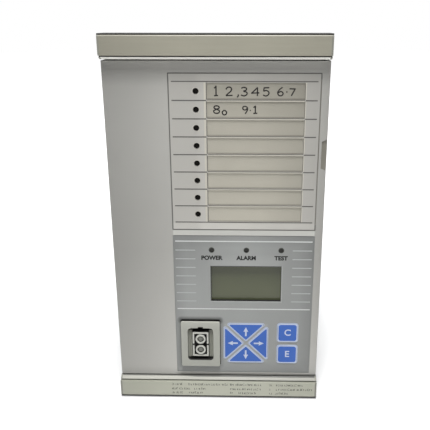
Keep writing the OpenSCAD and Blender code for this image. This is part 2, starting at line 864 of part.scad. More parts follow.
module front_panel() {
    skin = panel_w / 2 - panel_edge_r;
    color("#b4b2ac")
        difference() {
            union() {
                translate([0, 0, -panel_h / 2])
                    linear_extrude(panel_h)
                        difference() {
                            union() {
                                translate([-panel_w / 2, y_panel + panel_edge_r])
                                    square([panel_w, y_frame - y_panel - panel_edge_r]);
                                translate([-skin, y_panel])
                                    square([2 * skin, 2 * panel_edge_r]);
                                for (s = [-1, 1]) {
                                    translate([s * skin, y_panel + panel_edge_r])
                                        circle(r = panel_edge_r);
                                }
                            }
                            translate([-panel_w / 2 + skirt_t, y_back])
                                square([panel_w - 2 * skirt_t, far]);
                        }
                for (p = bosses) {
                    rod(p[0], p[1], boss_d, y_back - eps, y_board);
                }
                for (p = posts) {
                    rod(p[0], p[1], post_d, y_back - eps, y_frame);
                }
            }
            slab(y_panel - 1, y_floor) {
                lamp_field(overlay_gap);
                keypad_field(overlay_gap);
                translate([panel_w / 2, lamp_mid])
                    polygon(concat(notch_edge, [for (k = [2:-1:0]) [notch_edge[k][0], -notch_edge[k][1]]]));
            }
            slab(y_floor - eps, y_floor + pocket_d)
                translate([slip_x0 - slip_side, lamp_mid - slip_h / 2 - slip_side])
                    square([far, slip_h + 2 * slip_side]);
            slab(y_panel - 1, y_back + 1) {
                alarm_spots()
                    circle(d = lamp_d + 2 * lamp_play);
                status_spots()
                    circle(d = lamp_d + 2 * lamp_play);
                display_area(display_rim + screw_play);
                port_area(port_play);
                key_areas(key_play);
            }
            for (p = bosses) {
                rod(p[0], p[1], board_screw_d + 2 * screw_play, y_board - board_screw_grip - screw_spare,
                    y_board + 1);
            }
            for (p = posts) {
                rod(p[0], p[1], screw_d + 2 * screw_play, y_frame - screw_grip - screw_spare, y_frame + 1);
            }
        }
}

module lamp_overlay() {
    color("#bab8b1")
        slab(y_panel, y_floor)
            difference() {
                lamp_field(0);
                alarm_spots()
                    circle(d = lamp_d + 2 * lamp_play);
                for (k = [0:lamp_rows - 1]) {
                    translate([window_mid, lamp_mid + (k - (lamp_rows - 1) / 2) * row_pitch])
                        rounded_box(window_w, window_h, window_r);
                }
            }
}

module keypad_overlay() {
    color("#979a99")
        slab(y_panel, y_floor)
            difference() {
                keypad_field(0);
                status_spots()
                    circle(d = lamp_d + 2 * lamp_play);
                display_area(0);
                port_area(port_play);
                key_areas(key_play);
            }
}

module label_slip() {
    color("#b0aa9b")
        slab(y_floor + slip_play, y_floor + slip_play + slip_t)
            translate([slip_x0, lamp_mid - slip_h / 2])
                square([slip_x1 - slip_x0, slip_h]);
}

module arrow_key(turn) {
    color("#4a6fbf") {
        slab(y_panel - key_proud, y_back + eps)
            arrow_key_area(turn, 0);
        slab(y_back, y_back + key_flange_t)
            arrow_key_area(turn, key_flange);
        slab(y_back + key_flange_t - eps, y_board - switch_t - switch_play - key_travel)
            arrow_spot(turn)
                circle(d = stem_d);
    }
}

module square_key(side) {
    color("#4a6fbf") {
        slab(y_panel - key_proud, y_back + eps)
            square_key_area(side, 0);
        slab(y_back, y_back + key_flange_t)
            square_key_area(side, key_flange);
        slab(y_back + key_flange_t - eps, y_board - switch_t - switch_play - key_travel)
            square_spot(side)
                circle(d = stem_d);
    }
}

module key_up() {
    arrow_key(0);
}

module key_left() {
    arrow_key(90);
}

module key_down() {
    arrow_key(180);
}

module key_right() {
    arrow_key(270);
}

module key_clear() {
    square_key(1);
}

module key_enter() {
    square_key(-1);
}

module switch_outline() {
    translate([-switch_size / 2, -switch_size / 2])
        square(switch_size);
}

module key_switches() {
    color("#2c2c2e") {
        slab(y_board - switch_t * 2 / 3, y_board) {
            for (turn = [0:90:270]) {
                arrow_spot(turn)
                    switch_outline();
            }
            for (side = [-1, 1]) {
                square_spot(side)
                    switch_outline();
            }
        }
        slab(y_board - switch_t, y_board - switch_t * 2 / 3 + eps) {
            for (turn = [0:90:270]) {
                arrow_spot(turn)
                    circle(d = stem_d * 0.8);
            }
            for (side = [-1, 1]) {
                square_spot(side)
                    circle(d = stem_d * 0.8);
            }
        }
    }
}

// Lamp that stands on the front board with its dome just behind the face
module lamp() {
    reach = y_board - y_panel - lamp_set;
    rotate_extrude()
        union() {
            intersection() {
                translate([0, reach - lamp_dome])
                    circle(r = lamp_dome);
                translate([0, reach - lamp_dome / 2])
                    square([lamp_d / 2, lamp_dome]);
            }
            square([lamp_d / 2, reach - lamp_dome / 2 + eps]);
            square([lamp_d / 2 + lamp_foot, 2 * lamp_foot]);
        }
}

module alarm_lamps() {
    color("#1c1a17")
        translate([0, y_board, 0])
            rotate([90, 0, 0])
                alarm_spots()
                    lamp();
}

module status_lamps() {
    color("#3a3b39")
        translate([0, y_board, 0])
            rotate([90, 0, 0])
                status_spots()
                    lamp();
}

module display_frame() {
    color("#191a1a")
        slab(y_floor, y_back)
            difference() {
                display_area(display_rim);
                display_area(0);
            }
}

module display_glass() {
    color("#66694f")
        slab(y_back, y_back + glass_t)
            display_area(glass_margin);
}

module display_backlight() {
    color("#e6e6df")
        slab(y_back + glass_t, y_board)
            display_area(glass_margin);
}

module front_board() {
    color("#2d6b3f")
        slab(y_board, y_board_back)
            difference() {
                translate([front_board_x0, front_board_mid - front_board_z])
                    square([front_board_w, 2 * front_board_z]);
                for (p = bosses) {
                    translate(p)
                        circle(d = board_screw_d + 2 * screw_play);
                }
                for (p = posts) {
                    translate(p)
                        circle(d = post_d + 2 * post_room);
                }
            }
}

module front_board_screws() {
    color("#b9bcc0")
        for (p = bosses) {
            screw_from_rear(p[0], p[1], board_screw_d, 2 * board_screw_d, board_head_h,
                            y_board - board_screw_grip, y_board_back);
        }
}

module port_opening() {
    translate([overlay_x0 + port_x, keys_mid]) {
        rounded_box(port_open_w, port_open_h, port_open_r);
        translate([-port_notch_w / 2, 0])
            square([port_notch_w, port_open_h / 2 + port_notch_h]);
    }
}

module port_bezel() {
    color("#b3b4a9")
        difference() {
            union() {
                slab(y_panel - port_proud, y_board)
                    bezel_area();
                slab(y_back, y_back + port_flange)
                    port_area(port_flange);
            }
            slab(y_panel - port_proud - 1, y_board - port_floor)
                port_opening();
        }
}

module port_body() {
    face = y_panel - port_proud + body_set;
    color("#c9cac4")
        translate([overlay_x0 + port_x, 0, keys_mid - body_drop]) {
            difference() {
                slab(face, y_board - port_floor)
                    rounded_box(body_w, body_h, cell_wall / 2);
                slab(face - 1, face + cell_d) {
                    square([body_w - 2 * cell_wall, body_h - 2 * cell_wall], center = true);
                    square([body_w + 1, cell_slot], center = true);
                }
            }
            for (s = [-1, 1]) {
                difference() {
                    rod(0, s * lens_pitch / 2, tube_d, face + cell_d - tube_h, face + cell_d + eps);
                    rod(0, s * lens_pitch / 2, lens_d + 2 * screw_play, face - far,
                        face + cell_d - lens_seat);
                }
            }
        }
}

module port_lenses() {
    face = y_panel - port_proud + body_set;
    color("#6f6f69")
        translate([overlay_x0 + port_x, face + cell_d - lens_seat, keys_mid - body_drop])
            rotate([90, 0, 0])
                for (s = [-1, 1]) {
                    translate([0, s * lens_pitch / 2, 0])
                        rotate_extrude()
                            union() {
                                square([lens_d / 2, tube_h / 2 - lens_seat]);
                                intersection() {
                                    translate([0, tube_h / 2 - lens_seat])
                                        circle(d = lens_d);
                                    square([lens_d, lens_d * 2]);
                                }
                            }
                }
}

module mounting_frame() {
    color("#2b2c2d") {
        slab(y_frame, y_gasket)
            difference() {
                square([front_w, front_h], center = true);
                translate([lip_w - inner_w / 2, lip_w - inner_h / 2])
                    square([inner_w - 2 * lip_w, inner_h - 2 * lip_w]);
                for (p = concat(bar_screws, posts)) {
                    translate(p)
                        circle(d = screw_d + 2 * screw_play);
                }
            }
        slab(y_bars + bar_cover, y_frame + eps)
            difference() {
                square([front_w, front_h], center = true);
                square([front_w + 1, front_h - 2 * bar_inset], center = true);
            }
    }
}

module gasket() {
    color("#1d1d1e")
        slab(y_gasket, 0)
            difference() {
                rounded_box(front_w - 2 * gasket_margin, front_h - 2 * gasket_margin, 1);
                rounded_box(case_w + 2 * gasket_margin, case_h + 2 * gasket_margin, bend_r);
            }
}

module front_screws() {
    color("#b9bcc0")
        for (p = concat(bar_screws, posts)) {
            screw_from_rear(p[0], p[1], screw_d, screw_head_d, screw_head_h, y_frame - screw_grip,
                            y_gasket + sheet_t);
        }
}

module tube_outline() {
    difference() {
        rounded_box(case_w, case_h, bend_r);
        rounded_box(inner_w, inner_h, bend_r - sheet_t);
    }
}

module lip_outline() {
    difference() {
        rounded_box(case_w, case_h, bend_r);
        translate([lip_w - inner_w / 2, lip_w - inner_h / 2])
            square([inner_w - 2 * lip_w, inner_h - 2 * lip_w]);
    }
}

module case_shell() {
    color("#aab0b3")
        difference() {
            union() {
                slab(y_gasket, case_d)
                    tube_outline();
                slab(y_gasket, y_gasket + sheet_t)
                    difference() {
                        lip_outline();
                        for (p = concat(bar_screws, posts)) {
                            translate(p)
                                circle(d = screw_d + 2 * screw_play);
                        }
                    }
                slab(rear_front - sheet_t, rear_front)
                    difference() {
                        lip_outline();
                        for (p = rear_screws_at) {
                            translate(p)
                                circle(d = screw_d + 2 * screw_play);
                        }
                    }
            }
            for (field = [0, 1], row = [0, 1], k = [0:vent_count - 1]) {
                middle = (board_faces[field] + board_faces[field + 1]) / 2;
                translate([middle + (k - (vent_count - 1) / 2) * vent_pitch,
                           board_front + vent_y + row * (vent_l + 2 * vent_pitch), -case_h])
                    linear_extrude(2 * case_h)
                        rounded_box(vent_w, vent_l, vent_w * 0.4);
            }
            for (z = [-bracket_z, bracket_z]) {
                translate([-case_w, bracket_y, z])
                    rotate([0, 90, 0])
                        cylinder(d = bracket_nut_d - 2 * sheet_t + 2 * screw_play, h = 2 * case_w);
            }
        }
}

module bracket_nut() {
    translate([case_w / 2, bracket_y, 0])
        rotate([0, -90, 0])
            difference() {
                union() {
                    cylinder(d = bracket_nut_d - 2 * sheet_t, h = sheet_t + eps);
                    translate([0, 0, sheet_t])
                        cylinder(d = bracket_nut_d, h = bracket_nut_l);
                }
                translate([0, 0, -1])
                    cylinder(d = bracket_bore, h = far);
            }
}

module bracket_nuts() {
    color("#b9bcc0")
        for (x = [0, 1], z = [-bracket_z, bracket_z]) {
            translate([0, 0, z])
                mirror([x, 0, 0])
                    bracket_nut();
        }
}

module rear_plate() {
    color("#b4b9bb")
        slab(rear_front, case_d)
            difference() {
                rounded_box(inner_w - 2 * rear_play, inner_h - 2 * rear_play, bend_r - sheet_t);
                for (p = rear_screws_at) {
                    translate(p)
                        circle(d = screw_d + 2 * screw_play);
                }
                translate([measuring_x0 - rear_play, -measuring_l / 2 - rear_play])
                    square([measuring_w + 2 * rear_play, measuring_l + 2 * rear_play]);
                translate([plug_x0 - rear_play, -plug_l / 2 - rear_play])
                    square([plug_w + 2 * rear_play, plug_l + 2 * rear_play]);
                translate([serial_x, serial_z]) {
                    square([serial_hole_w, serial_hole_h], center = true);
                    for (s = [-1, 1]) {
                        translate([0, s * serial_screw])
                            circle(d = jack_d + 2 * screw_play);
                    }
                }
                for (k = [0, 1]) {
                    translate([fibre_x, fibre_z - k * fibre_pitch])
                        square(fibre_size + 2 * rear_play, center = true);
                }
                translate([earth_x, -earth_z])
                    circle(d = earth_core + 2 * screw_play);
            }
}

module rear_screws() {
    color("#c2c5c8")
        for (p = rear_screws_at) {
            screw_from_rear(p[0], p[1], screw_d, screw_head_d, screw_head_h, rear_front - screw_grip, case_d);
        }
}

module earth_stud() {
    color("#c9a24a") {
        rod(earth_x, -earth_z, earth_core, rear_front - eps, earth_free + eps);
        rod(earth_x, -earth_z, earth_d, earth_free, case_d + earth_l);
        hex_rod(earth_x, -earth_z, earth_flats, rear_front - earth_head_t, rear_front);
    }
}

module earth_washer() {
    color("#c2c5c8")
        difference() {
            rod(earth_x, -earth_z, earth_d * 2, case_d, case_d + earth_washer_t);
            rod(earth_x, -earth_z, earth_core + 2 * screw_play, case_d - 1, case_d + earth_washer_t + 1);
        }
}

module earth_nut() {
    color("#c9a24a")
        difference() {
            hex_rod(earth_x, -earth_z, earth_flats, case_d + earth_washer_t,
                    case_d + earth_washer_t + earth_nut_t);
            rod(earth_x, -earth_z, earth_core + 2 * screw_play, case_d, case_d + far);
        }
}

module measuring_spots(x) {
    for (k = [0:measuring_count - 1]) {
        translate([measuring_x0 + x, 0, (k - (measuring_count - 1) / 2) * measuring_pitch])
            children();
    }
}

module measuring_terminals() {
    color("#26282a")
        difference() {
            union() {
                block([measuring_x0, case_d - measuring_in, -measuring_l / 2],
                      [measuring_x0 + measuring_w, terminal_face, measuring_l / 2]);
                for (k = [0:measuring_count]) {
                    translate([measuring_x0, 0, (k - measuring_count / 2) * measuring_pitch])
                        block([0, terminal_face - 1, -barrier_t / 2],
                              [measuring_w, terminal_y, barrier_t / 2]);
                }
            }
            measuring_spots(measuring_w * 0.32) {
                rod(0, 0, clamp_head_d + 4 * screw_play, terminal_face - clamp_set, terminal_y + 1);
                rod(0, 0, clamp_d + 2 * screw_play, terminal_face - clamp_set - clamp_l - screw_spare,
                    terminal_face);
            }
            measuring_spots(measuring_w * 0.72)
                block([-measuring_wire / 2, terminal_face - wire_depth, -measuring_wire / 2],
                      [measuring_wire / 2, terminal_y + 1, measuring_wire / 2]);
        }
}

module measuring_screws() {
    color("#c2c5c8")
        measuring_spots(measuring_w * 0.32)
            screw_from_rear(0, 0, clamp_d, clamp_head_d, clamp_head_h, terminal_face - clamp_set - clamp_l,
                            terminal_face - clamp_set);
}

module plug_spots(x) {
    for (k = [0:plug_count - 1]) {
        translate([plug_mid + x, 0, (k - (plug_count - 1) / 2) * plug_pitch])
            children();
    }
}

module plug_header() {
    color("#3b6b46")
        difference() {
            block([plug_x0, case_d - header_in, -plug_l / 2],
                  [plug_x0 + plug_w, case_d + header_out, plug_l / 2]);
            block([plug_x0 + header_wall, header_base, header_wall - plug_l / 2],
                  [plug_x0 + plug_w - header_wall, case_d + far, plug_l / 2 - header_wall]);
            plug_spots(0)
                rod(0, 0, pin_d + 2 * screw_play, case_d - header_in - 1, header_base + 1);
        }
}

module header_pins() {
    color("#c9b46a")
        plug_spots(0)
            rod(0, 0, pin_d, case_d - header_in - header_floor, header_base + pin_l);
}

module terminal_plug() {
    inset = header_wall + plug_play;
    color("#4b8a58")
        difference() {
            union() {
                block([plug_x0 + inset, header_base + plug_play, inset - plug_l / 2],
                      [plug_x0 + plug_w - inset, case_d + header_out + plug_play + eps, plug_l / 2 - inset]);
                block([plug_x0, case_d + header_out + plug_play, -plug_l / 2],
                      [plug_x0 + plug_w, terminal_y, plug_l / 2]);
            }
            plug_spots(0)
                rod(0, 0, pin_d + 2 * plug_play, header_base - 1, header_base + pin_l + 1);
            plug_spots(-plug_w * 0.24)
                block([-plug_wire / 2, terminal_y - wire_depth, -plug_wire / 2],
                      [plug_wire / 2, terminal_y + 1, plug_wire / 2]);
            plug_spots(plug_w * 0.25) {
                rod(0, 0, plug_screw_d + 4 * screw_play, terminal_y - plug_screw_set, terminal_y + 1);
                rod(0, 0, plug_screw_d * 0.75 + 2 * screw_play,
                    terminal_y - plug_screw_set - plug_screw_l - screw_spare, terminal_y);
            }
        }
}

module plug_screws() {
    color("#c2c5c8")
        plug_spots(plug_w * 0.25)
            screw_from_rear(0, 0, plug_screw_d * 0.75, plug_screw_d, plug_screw_set * 0.6,
                            terminal_y - plug_screw_set - plug_screw_l, terminal_y - plug_screw_set);
}

module serial_shape(grow) {
    half = serial_half + grow;
    rounded([
        [-half, -serial_short - grow],
        [half, -serial_long - grow],
        [half, serial_long + grow],
        [-half, serial_short + grow],
    ], serial_r + grow);
}

module serial_shell() {
    color("#b9bcc0")
        translate([serial_x, 0, serial_z])
            difference() {
                union() {
                    slab(case_d, case_d + 2 * serial_shell_t)
                        rounded_box(serial_flange_w, serial_flange_h, 1);
                    slab(case_d, case_d + serial_l)
                        serial_shape(serial_shell_t);
                }
                slab(case_d - 1, case_d + serial_l + 1)
                    serial_shape(0);
                for (s = [-1, 1]) {
                    rod(0, s * serial_screw, jack_d + 2 * screw_play, case_d - 1, case_d + 2);
                }
            }
}

module serial_insert() {
    foot = serial_x - processor_at - board_t;
    color("#232425")
        translate([serial_x, 0, serial_z])
            difference() {
                union() {
                    slab(rear_front - serial_in, case_d + serial_l - serial_shell_t)
                        serial_shape(-2 * screw_play);
                    block([-foot, rear_front - serial_in, -serial_long],
                          [serial_half, rear_front - rear_play, serial_long]);
                }
                for (k = [-2:2]) {
                    rod(serial_pitch / 2, k * serial_pitch, pin_d, case_d, case_d + far);
                }
                for (k = [-1.5:1.5]) {
                    rod(-serial_pitch / 2, k * serial_pitch, pin_d, case_d, case_d + far);
                }
            }
}

module jack_screws() {
    seat = case_d + 2 * serial_shell_t;
    color("#c2c5c8")
        for (s = [-1, 1]) {
            translate([serial_x, 0, serial_z + s * serial_screw])
                difference() {
                    union() {
                        rod(0, 0, jack_d, rear_front - jack_d, seat + eps);
                        hex_rod(0, 0, jack_flats, seat, seat + jack_l);
                    }
                    rod(0, 0, jack_d * 0.8, seat, seat + far);
                }
        }
}

module fibre_ports() {
    foot = fibre_x - processor_at - board_t;
    shoulder = case_d + fibre_l / 3;
    color("#2f3f6b")
        for (k = [0, 1]) {
            translate([fibre_x, 0, fibre_z - k * fibre_pitch])
                difference() {
                    union() {
                        block([-fibre_size / 2, rear_front - fibre_in, -fibre_size / 2],
                              [fibre_size / 2, shoulder, fibre_size / 2]);
                        block([-foot, rear_front - fibre_in, -fibre_size / 2],
                              [0, rear_front - rear_play, fibre_size / 2]);
                        rod(0, 0, fibre_d, shoulder - eps, case_d + fibre_l);
                        rod(0, 0, fibre_d * 1.12, case_d + fibre_l * 0.6, case_d + fibre_l * 0.75);
                    }
                    rod(0, 0, fibre_bore, case_d + 1, case_d + far);
                }
        }
}

module upright_board(x) {
    block([x, board_front, -board_h / 2], [x + board_t, board_end, board_h / 2]);
}

module measuring_board() {
    color("#2d6b3f")
        upright_board(measuring_at);
}

module supply_board() {
    color("#2d6b3f")
        upright_board(supply_x);
}

module processor_board() {
    color("#2d6b3f")
        upright_board(processor_at);
}

module transformer_spots() {
    for (col = [0, 1], k = [0:transformer_rows - 1]) {
        translate([measuring_at + board_t, board_front + transformer_y + col * transformer_step,
                   (k - (transformer_rows - 1) / 2) * transformer_pitch])
            children();
    }
}

module transformer_cores() {
    core_w = core_leg + 2 * core_window + 2 * core_side;
    core_h = core_window_h + 2 * core_side;
    color("#4a4642")
        transformer_spots()
            across(core_window, core_window + core_stack)
                difference() {
                    square([core_w, core_h], center = true);
                    for (s = [-1, 1]) {
                        translate([s * (core_leg + core_window) / 2, 0])
                            square([core_window, core_window_h], center = true);
                    }
                }
}

module transformer_coils() {
    color("#c08a3e")
        transformer_spots()
            translate([0, 0, coil_play - core_window_h / 2])
                linear_extrude(core_window_h - 2 * coil_play)
                    difference() {
                        translate([core_window + core_stack / 2, 0])
                            rounded_box(core_stack + 2 * core_window,
                                        core_leg + 2 * core_window - 2 * coil_play, 2);
                        translate([core_window - coil_play, -core_leg / 2 - coil_play])
                            square([core_stack + 2 * coil_play, core_leg + 2 * coil_play]);
                    }
}

module supply_transformer() {
    x = supply_x + board_t;
    y = board_front + supply_block_y;
    color("#8c6a2f") {
        block([x, y, -supply_foot], [x + supply_block_t, y + supply_block_w, supply_block_h - supply_foot]);
        across(x + supply_block_t - eps, x + supply_block_t + supply_crown)
            translate([y + supply_block_w / 2, supply_block_h / 2 - supply_foot])
                rounded_box(supply_block_w * 0.6, supply_block_h * 0.6, supply_crown);
    }
}

module supply_capacitors() {
    x = supply_x + board_t;
    color("#30363f")
        for (k = [0:2]) {
            translate([x, board_front + capacitor_y + k * (capacitor_d + capacitor_gap),
                       capacitor_d / 2 - supply_foot])
                rotate([0, 90, 0])
                    cylinder(d = capacitor_d, h = capacitor_l);
        }
}

module heat_sink() {
    x = supply_x + board_t;
    y = board_front + sink_y;
    step = (sink_w - sink_fin_t) / (sink_fins - 1);
    color("#3a3d40") {
        block([x, y, -sink_foot], [x + sink_base, y + sink_w, sink_h - sink_foot]);
        for (k = [0:sink_fins - 1]) {
            block([x + sink_base - eps, y + k * step, -sink_foot],
                  [x + sink_t, y + k * step + sink_fin_t, sink_h - sink_foot]);
        }
    }
}

module output_relays() {
    x = supply_x + board_t;
    color("#c8c9c4")
        for (col = [0, 1], k = [0:relay_rows - 1]) {
            translate([x, board_front + relay_y + col * (relay_l + relay_gap),
                       guide_z - relay_foot - relay_w - k * (relay_w + relay_gap)])
                block([0, 0, 0], [relay_t, relay_l, relay_w]);
        }
}

module logic_chips() {
    x = processor_at + board_t;
    color("#232527") {
        translate([x, board_front + chip_y, chip_gap])
            block([0, 0, 0], [chip_t, chip_size, chip_size]);
        for (col = [0, 1], k = [1, 2]) {
            translate([x, board_front + chip_y + col * (memory_l + chip_gap), -k * (memory_w + chip_gap)])
                block([0, 0, 0], [chip_t, memory_l, memory_w]);
        }
        translate([x, board_front + chip_y, chip_size + 3 * chip_gap])
            rotate([0, 90, 0])
                cylinder(d = chip_size / 2, h = 2 * chip_t);
    }
}

module linking_board() {
    color("#2d6b3f")
        block([measuring_at - link_socket_w / 2, link_front, -link_h / 2],
              [processor_at + link_socket_w, link_back, link_h / 2]);
}

module board_connectors() {
    color("#d8d6cc")
        for (x = board_faces) {
            translate([x + board_t / 2, 0, 0])
                block([-link_socket_w / 2, link_back, -link_socket_h / 2],
                      [link_socket_w / 2, board_front, link_socket_h / 2]);
        }
}

function ribbon_path(t) = [
    y_board_back + ribbon_socket_t + t * (link_front - y_board_back - 2 * ribbon_socket_t),
    ribbon_step * (1 - cos(180 * t)) / 2,
];

module ribbon_cable() {
    steps = 24;
    color("#9aa0a4")
        across(-ribbon_w / 2, ribbon_w / 2)
            polygon(concat(
                [for (k = [0:steps]) ribbon_path(k / steps) + [0, ribbon_t / 2]],
                [for (k = [steps:-1:0]) ribbon_path(k / steps) - [0, ribbon_t / 2]]
            ));
}

module ribbon_sockets() {
    w = ribbon_w / 2 + ribbon_socket_t;
    color("#232527") {
        block([-w, y_board_back, -ribbon_socket_t], [w, y_board_back + ribbon_socket_t, ribbon_socket_t]);
        block([-w, link_front - ribbon_socket_t, ribbon_step - ribbon_socket_t],
              [w, link_front, ribbon_step + ribbon_socket_t]);
    }
}

module card_guide(x) {
    slot = board_t + 2 * guide_play;
    slab(board_front + guide_size, board_end - guide_size)
        translate([x + board_t / 2, guide_z])
            difference() {
                translate([-guide_size / 2, 0])
                    square(guide_size);
                translate([-slot / 2, -1])
                    square([slot, guide_slot + 1]);
            }
}

module card_guides() {
    color("#e4e2d8")
        for (x = board_faces, s = [0, 1]) {
            mirror([0, 0, s])
                card_guide(x);
        }
}

top_bar();
bottom_bar();
bar_end_caps();
front_panel();
lamp_overlay();
keypad_overlay();
label_slip();
key_up();
key_left();
key_down();
key_right();
key_clear();
key_enter();
key_switches();
alarm_lamps();
status_lamps();
display_frame();
display_glass();
display_backlight();
front_board();
front_board_screws();
port_bezel();
port_body();
port_lenses();
mounting_frame();
gasket();
front_screws();
case_shell();
rear_plate();
rear_screws();
bracket_nuts();
earth_stud();
earth_washer();
earth_nut();
measuring_terminals();
measuring_screws();
plug_header();
header_pins();
terminal_plug();
plug_screws();
serial_shell();
serial_insert();
jack_screws();
fibre_ports();
measuring_board();
transformer_cores();
transformer_coils();
supply_board();
supply_transformer();
supply_capacitors();
heat_sink();
output_relays();
processor_board();
logic_chips();
linking_board();
board_connectors();
ribbon_cable();
ribbon_sockets();
card_guides();
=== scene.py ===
import json
import math
import random

import bpy
from mathutils import Matrix, Vector


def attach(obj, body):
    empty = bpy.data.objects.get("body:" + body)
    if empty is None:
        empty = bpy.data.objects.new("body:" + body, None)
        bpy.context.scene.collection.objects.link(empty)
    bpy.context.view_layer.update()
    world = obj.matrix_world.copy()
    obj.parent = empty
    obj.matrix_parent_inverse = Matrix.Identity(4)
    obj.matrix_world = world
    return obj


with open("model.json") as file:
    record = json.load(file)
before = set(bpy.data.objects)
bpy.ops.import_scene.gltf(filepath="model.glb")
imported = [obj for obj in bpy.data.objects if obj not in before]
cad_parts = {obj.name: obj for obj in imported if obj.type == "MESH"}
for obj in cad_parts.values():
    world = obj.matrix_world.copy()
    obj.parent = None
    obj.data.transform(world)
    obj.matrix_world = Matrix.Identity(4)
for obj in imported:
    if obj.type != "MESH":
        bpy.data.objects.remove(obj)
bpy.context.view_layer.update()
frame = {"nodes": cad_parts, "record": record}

MM = 0.001
nodes = frame["nodes"]

# Places in millimetres, X to the right and Z up as seen from the front, Y to the rear

# Depths
BAR_FACE = -24.0  # front of both bars
BEZEL_FACE = -21.2  # front of the port's bezel
KEY_TOP = -19.5  # front of the keys
FACE = -19.1  # front of the panel and of both overlays
SLIP = -18.6  # front of the label slip
FRAME_BACK = -2.0  # rear edge of the frame's foot
REAR = 190.0  # outside of the rear plate
INK = 0.03  # thickness of printed ink

# Bars, frame and case
BAR_END = 74.0  # shading of the front ends here, left and right
GROOVE_Z = 118.95  # groove of each bar, above and below the middle
LIP_Z = 118.5  # the lip of each bar lies nearer to the middle than this
FRAME_FOOT = -132.95
CASE_TOP = 124.9

# Both overlays
FILM_X0, FILM_X1 = -30.95, 68.35
LAMP_FOOT, LAMP_TOP = 1.4, 108.3
KEYPAD_FOOT, KEYPAD_TOP = -113.4, -3.4
LAMP_FILM = (FILM_X0, FILM_X1, LAMP_FOOT, LAMP_TOP)
KEYPAD_FILM = (FILM_X0, FILM_X1, KEYPAD_FOOT, KEYPAD_TOP)

# Rows of lamps and windows
LAMP_MID, ROW, ROWS = 54.85, 12.03, 8
LAMP_COLUMN = -13.15
WINDOW_X0, WINDOW_X1, WINDOW_BAR = -5.85, 58.15, 1.3

# Status lamps, display and keys
COLUMN, KEYS_Z = 20.65, -88.6
STATUS_Z, STATUS_PITCH = -14.2, 24.7
DISPLAY_W, DISPLAY_H, DISPLAY_Z = 50.5, 27.35, -40.4
SQUARE_X, SQUARE_PITCH, SQUARE_SIZE = 51.6, 18.1, 14.9
PAD, PAD_APEX = 32.5, 1.7

# Port: its bezel, the opening in it and the body inside
PORT_X, PORT_Z, PORT_W, PORT_H = -13.05, -89.0, 28.8, 37.1
PORT_X0, PORT_X1 = PORT_X - PORT_W / 2, PORT_X + PORT_W / 2
PORT_FOOT, PORT_TOP = PORT_Z - PORT_H / 2, PORT_Z + PORT_H / 2
OPEN_W, OPEN_H = 19.1, 26.2
OPEN_X0, OPEN_X1 = PORT_X - OPEN_W / 2, PORT_X + OPEN_W / 2
OPEN_FOOT, OPEN_TOP = KEYS_Z - OPEN_H / 2, KEYS_Z + OPEN_H / 2
BODY_Z = -89.2


# Shader nodes

def lin(r, g, b):
    """A colour given in screen values, 0 to 255, as linear light."""
    def one(v):
        v /= 255
        return v / 12.92 if v <= 0.04045 else ((v + 0.055) / 1.055) ** 2.4
    return (one(r), one(g), one(b), 1)


def feed(tree, value, socket):
    """Links a socket to another one, or sets it to a plain value."""
    if hasattr(value, "is_linked"):
        tree.links.new(value, socket)
    else:
        socket.default_value = value


def node_math(tree, how, a, b=0.0):
    node = tree.nodes.new("ShaderNodeMath")
    node.operation = how
    feed(tree, a, node.inputs[0])
    feed(tree, b, node.inputs[1])
    return node.outputs[0]


def node_range(tree, value, low, high, start, end):
    """Runs from low to high while value runs from start to end."""
    node = tree.nodes.new("ShaderNodeMapRange")
    for name, v in zip(("From Min", "From Max", "To Min", "To Max"), (start, end, low, high)):
        node.inputs[name].default_value = v
    tree.links.new(value, node.inputs["Value"])
    return node.outputs["Result"]


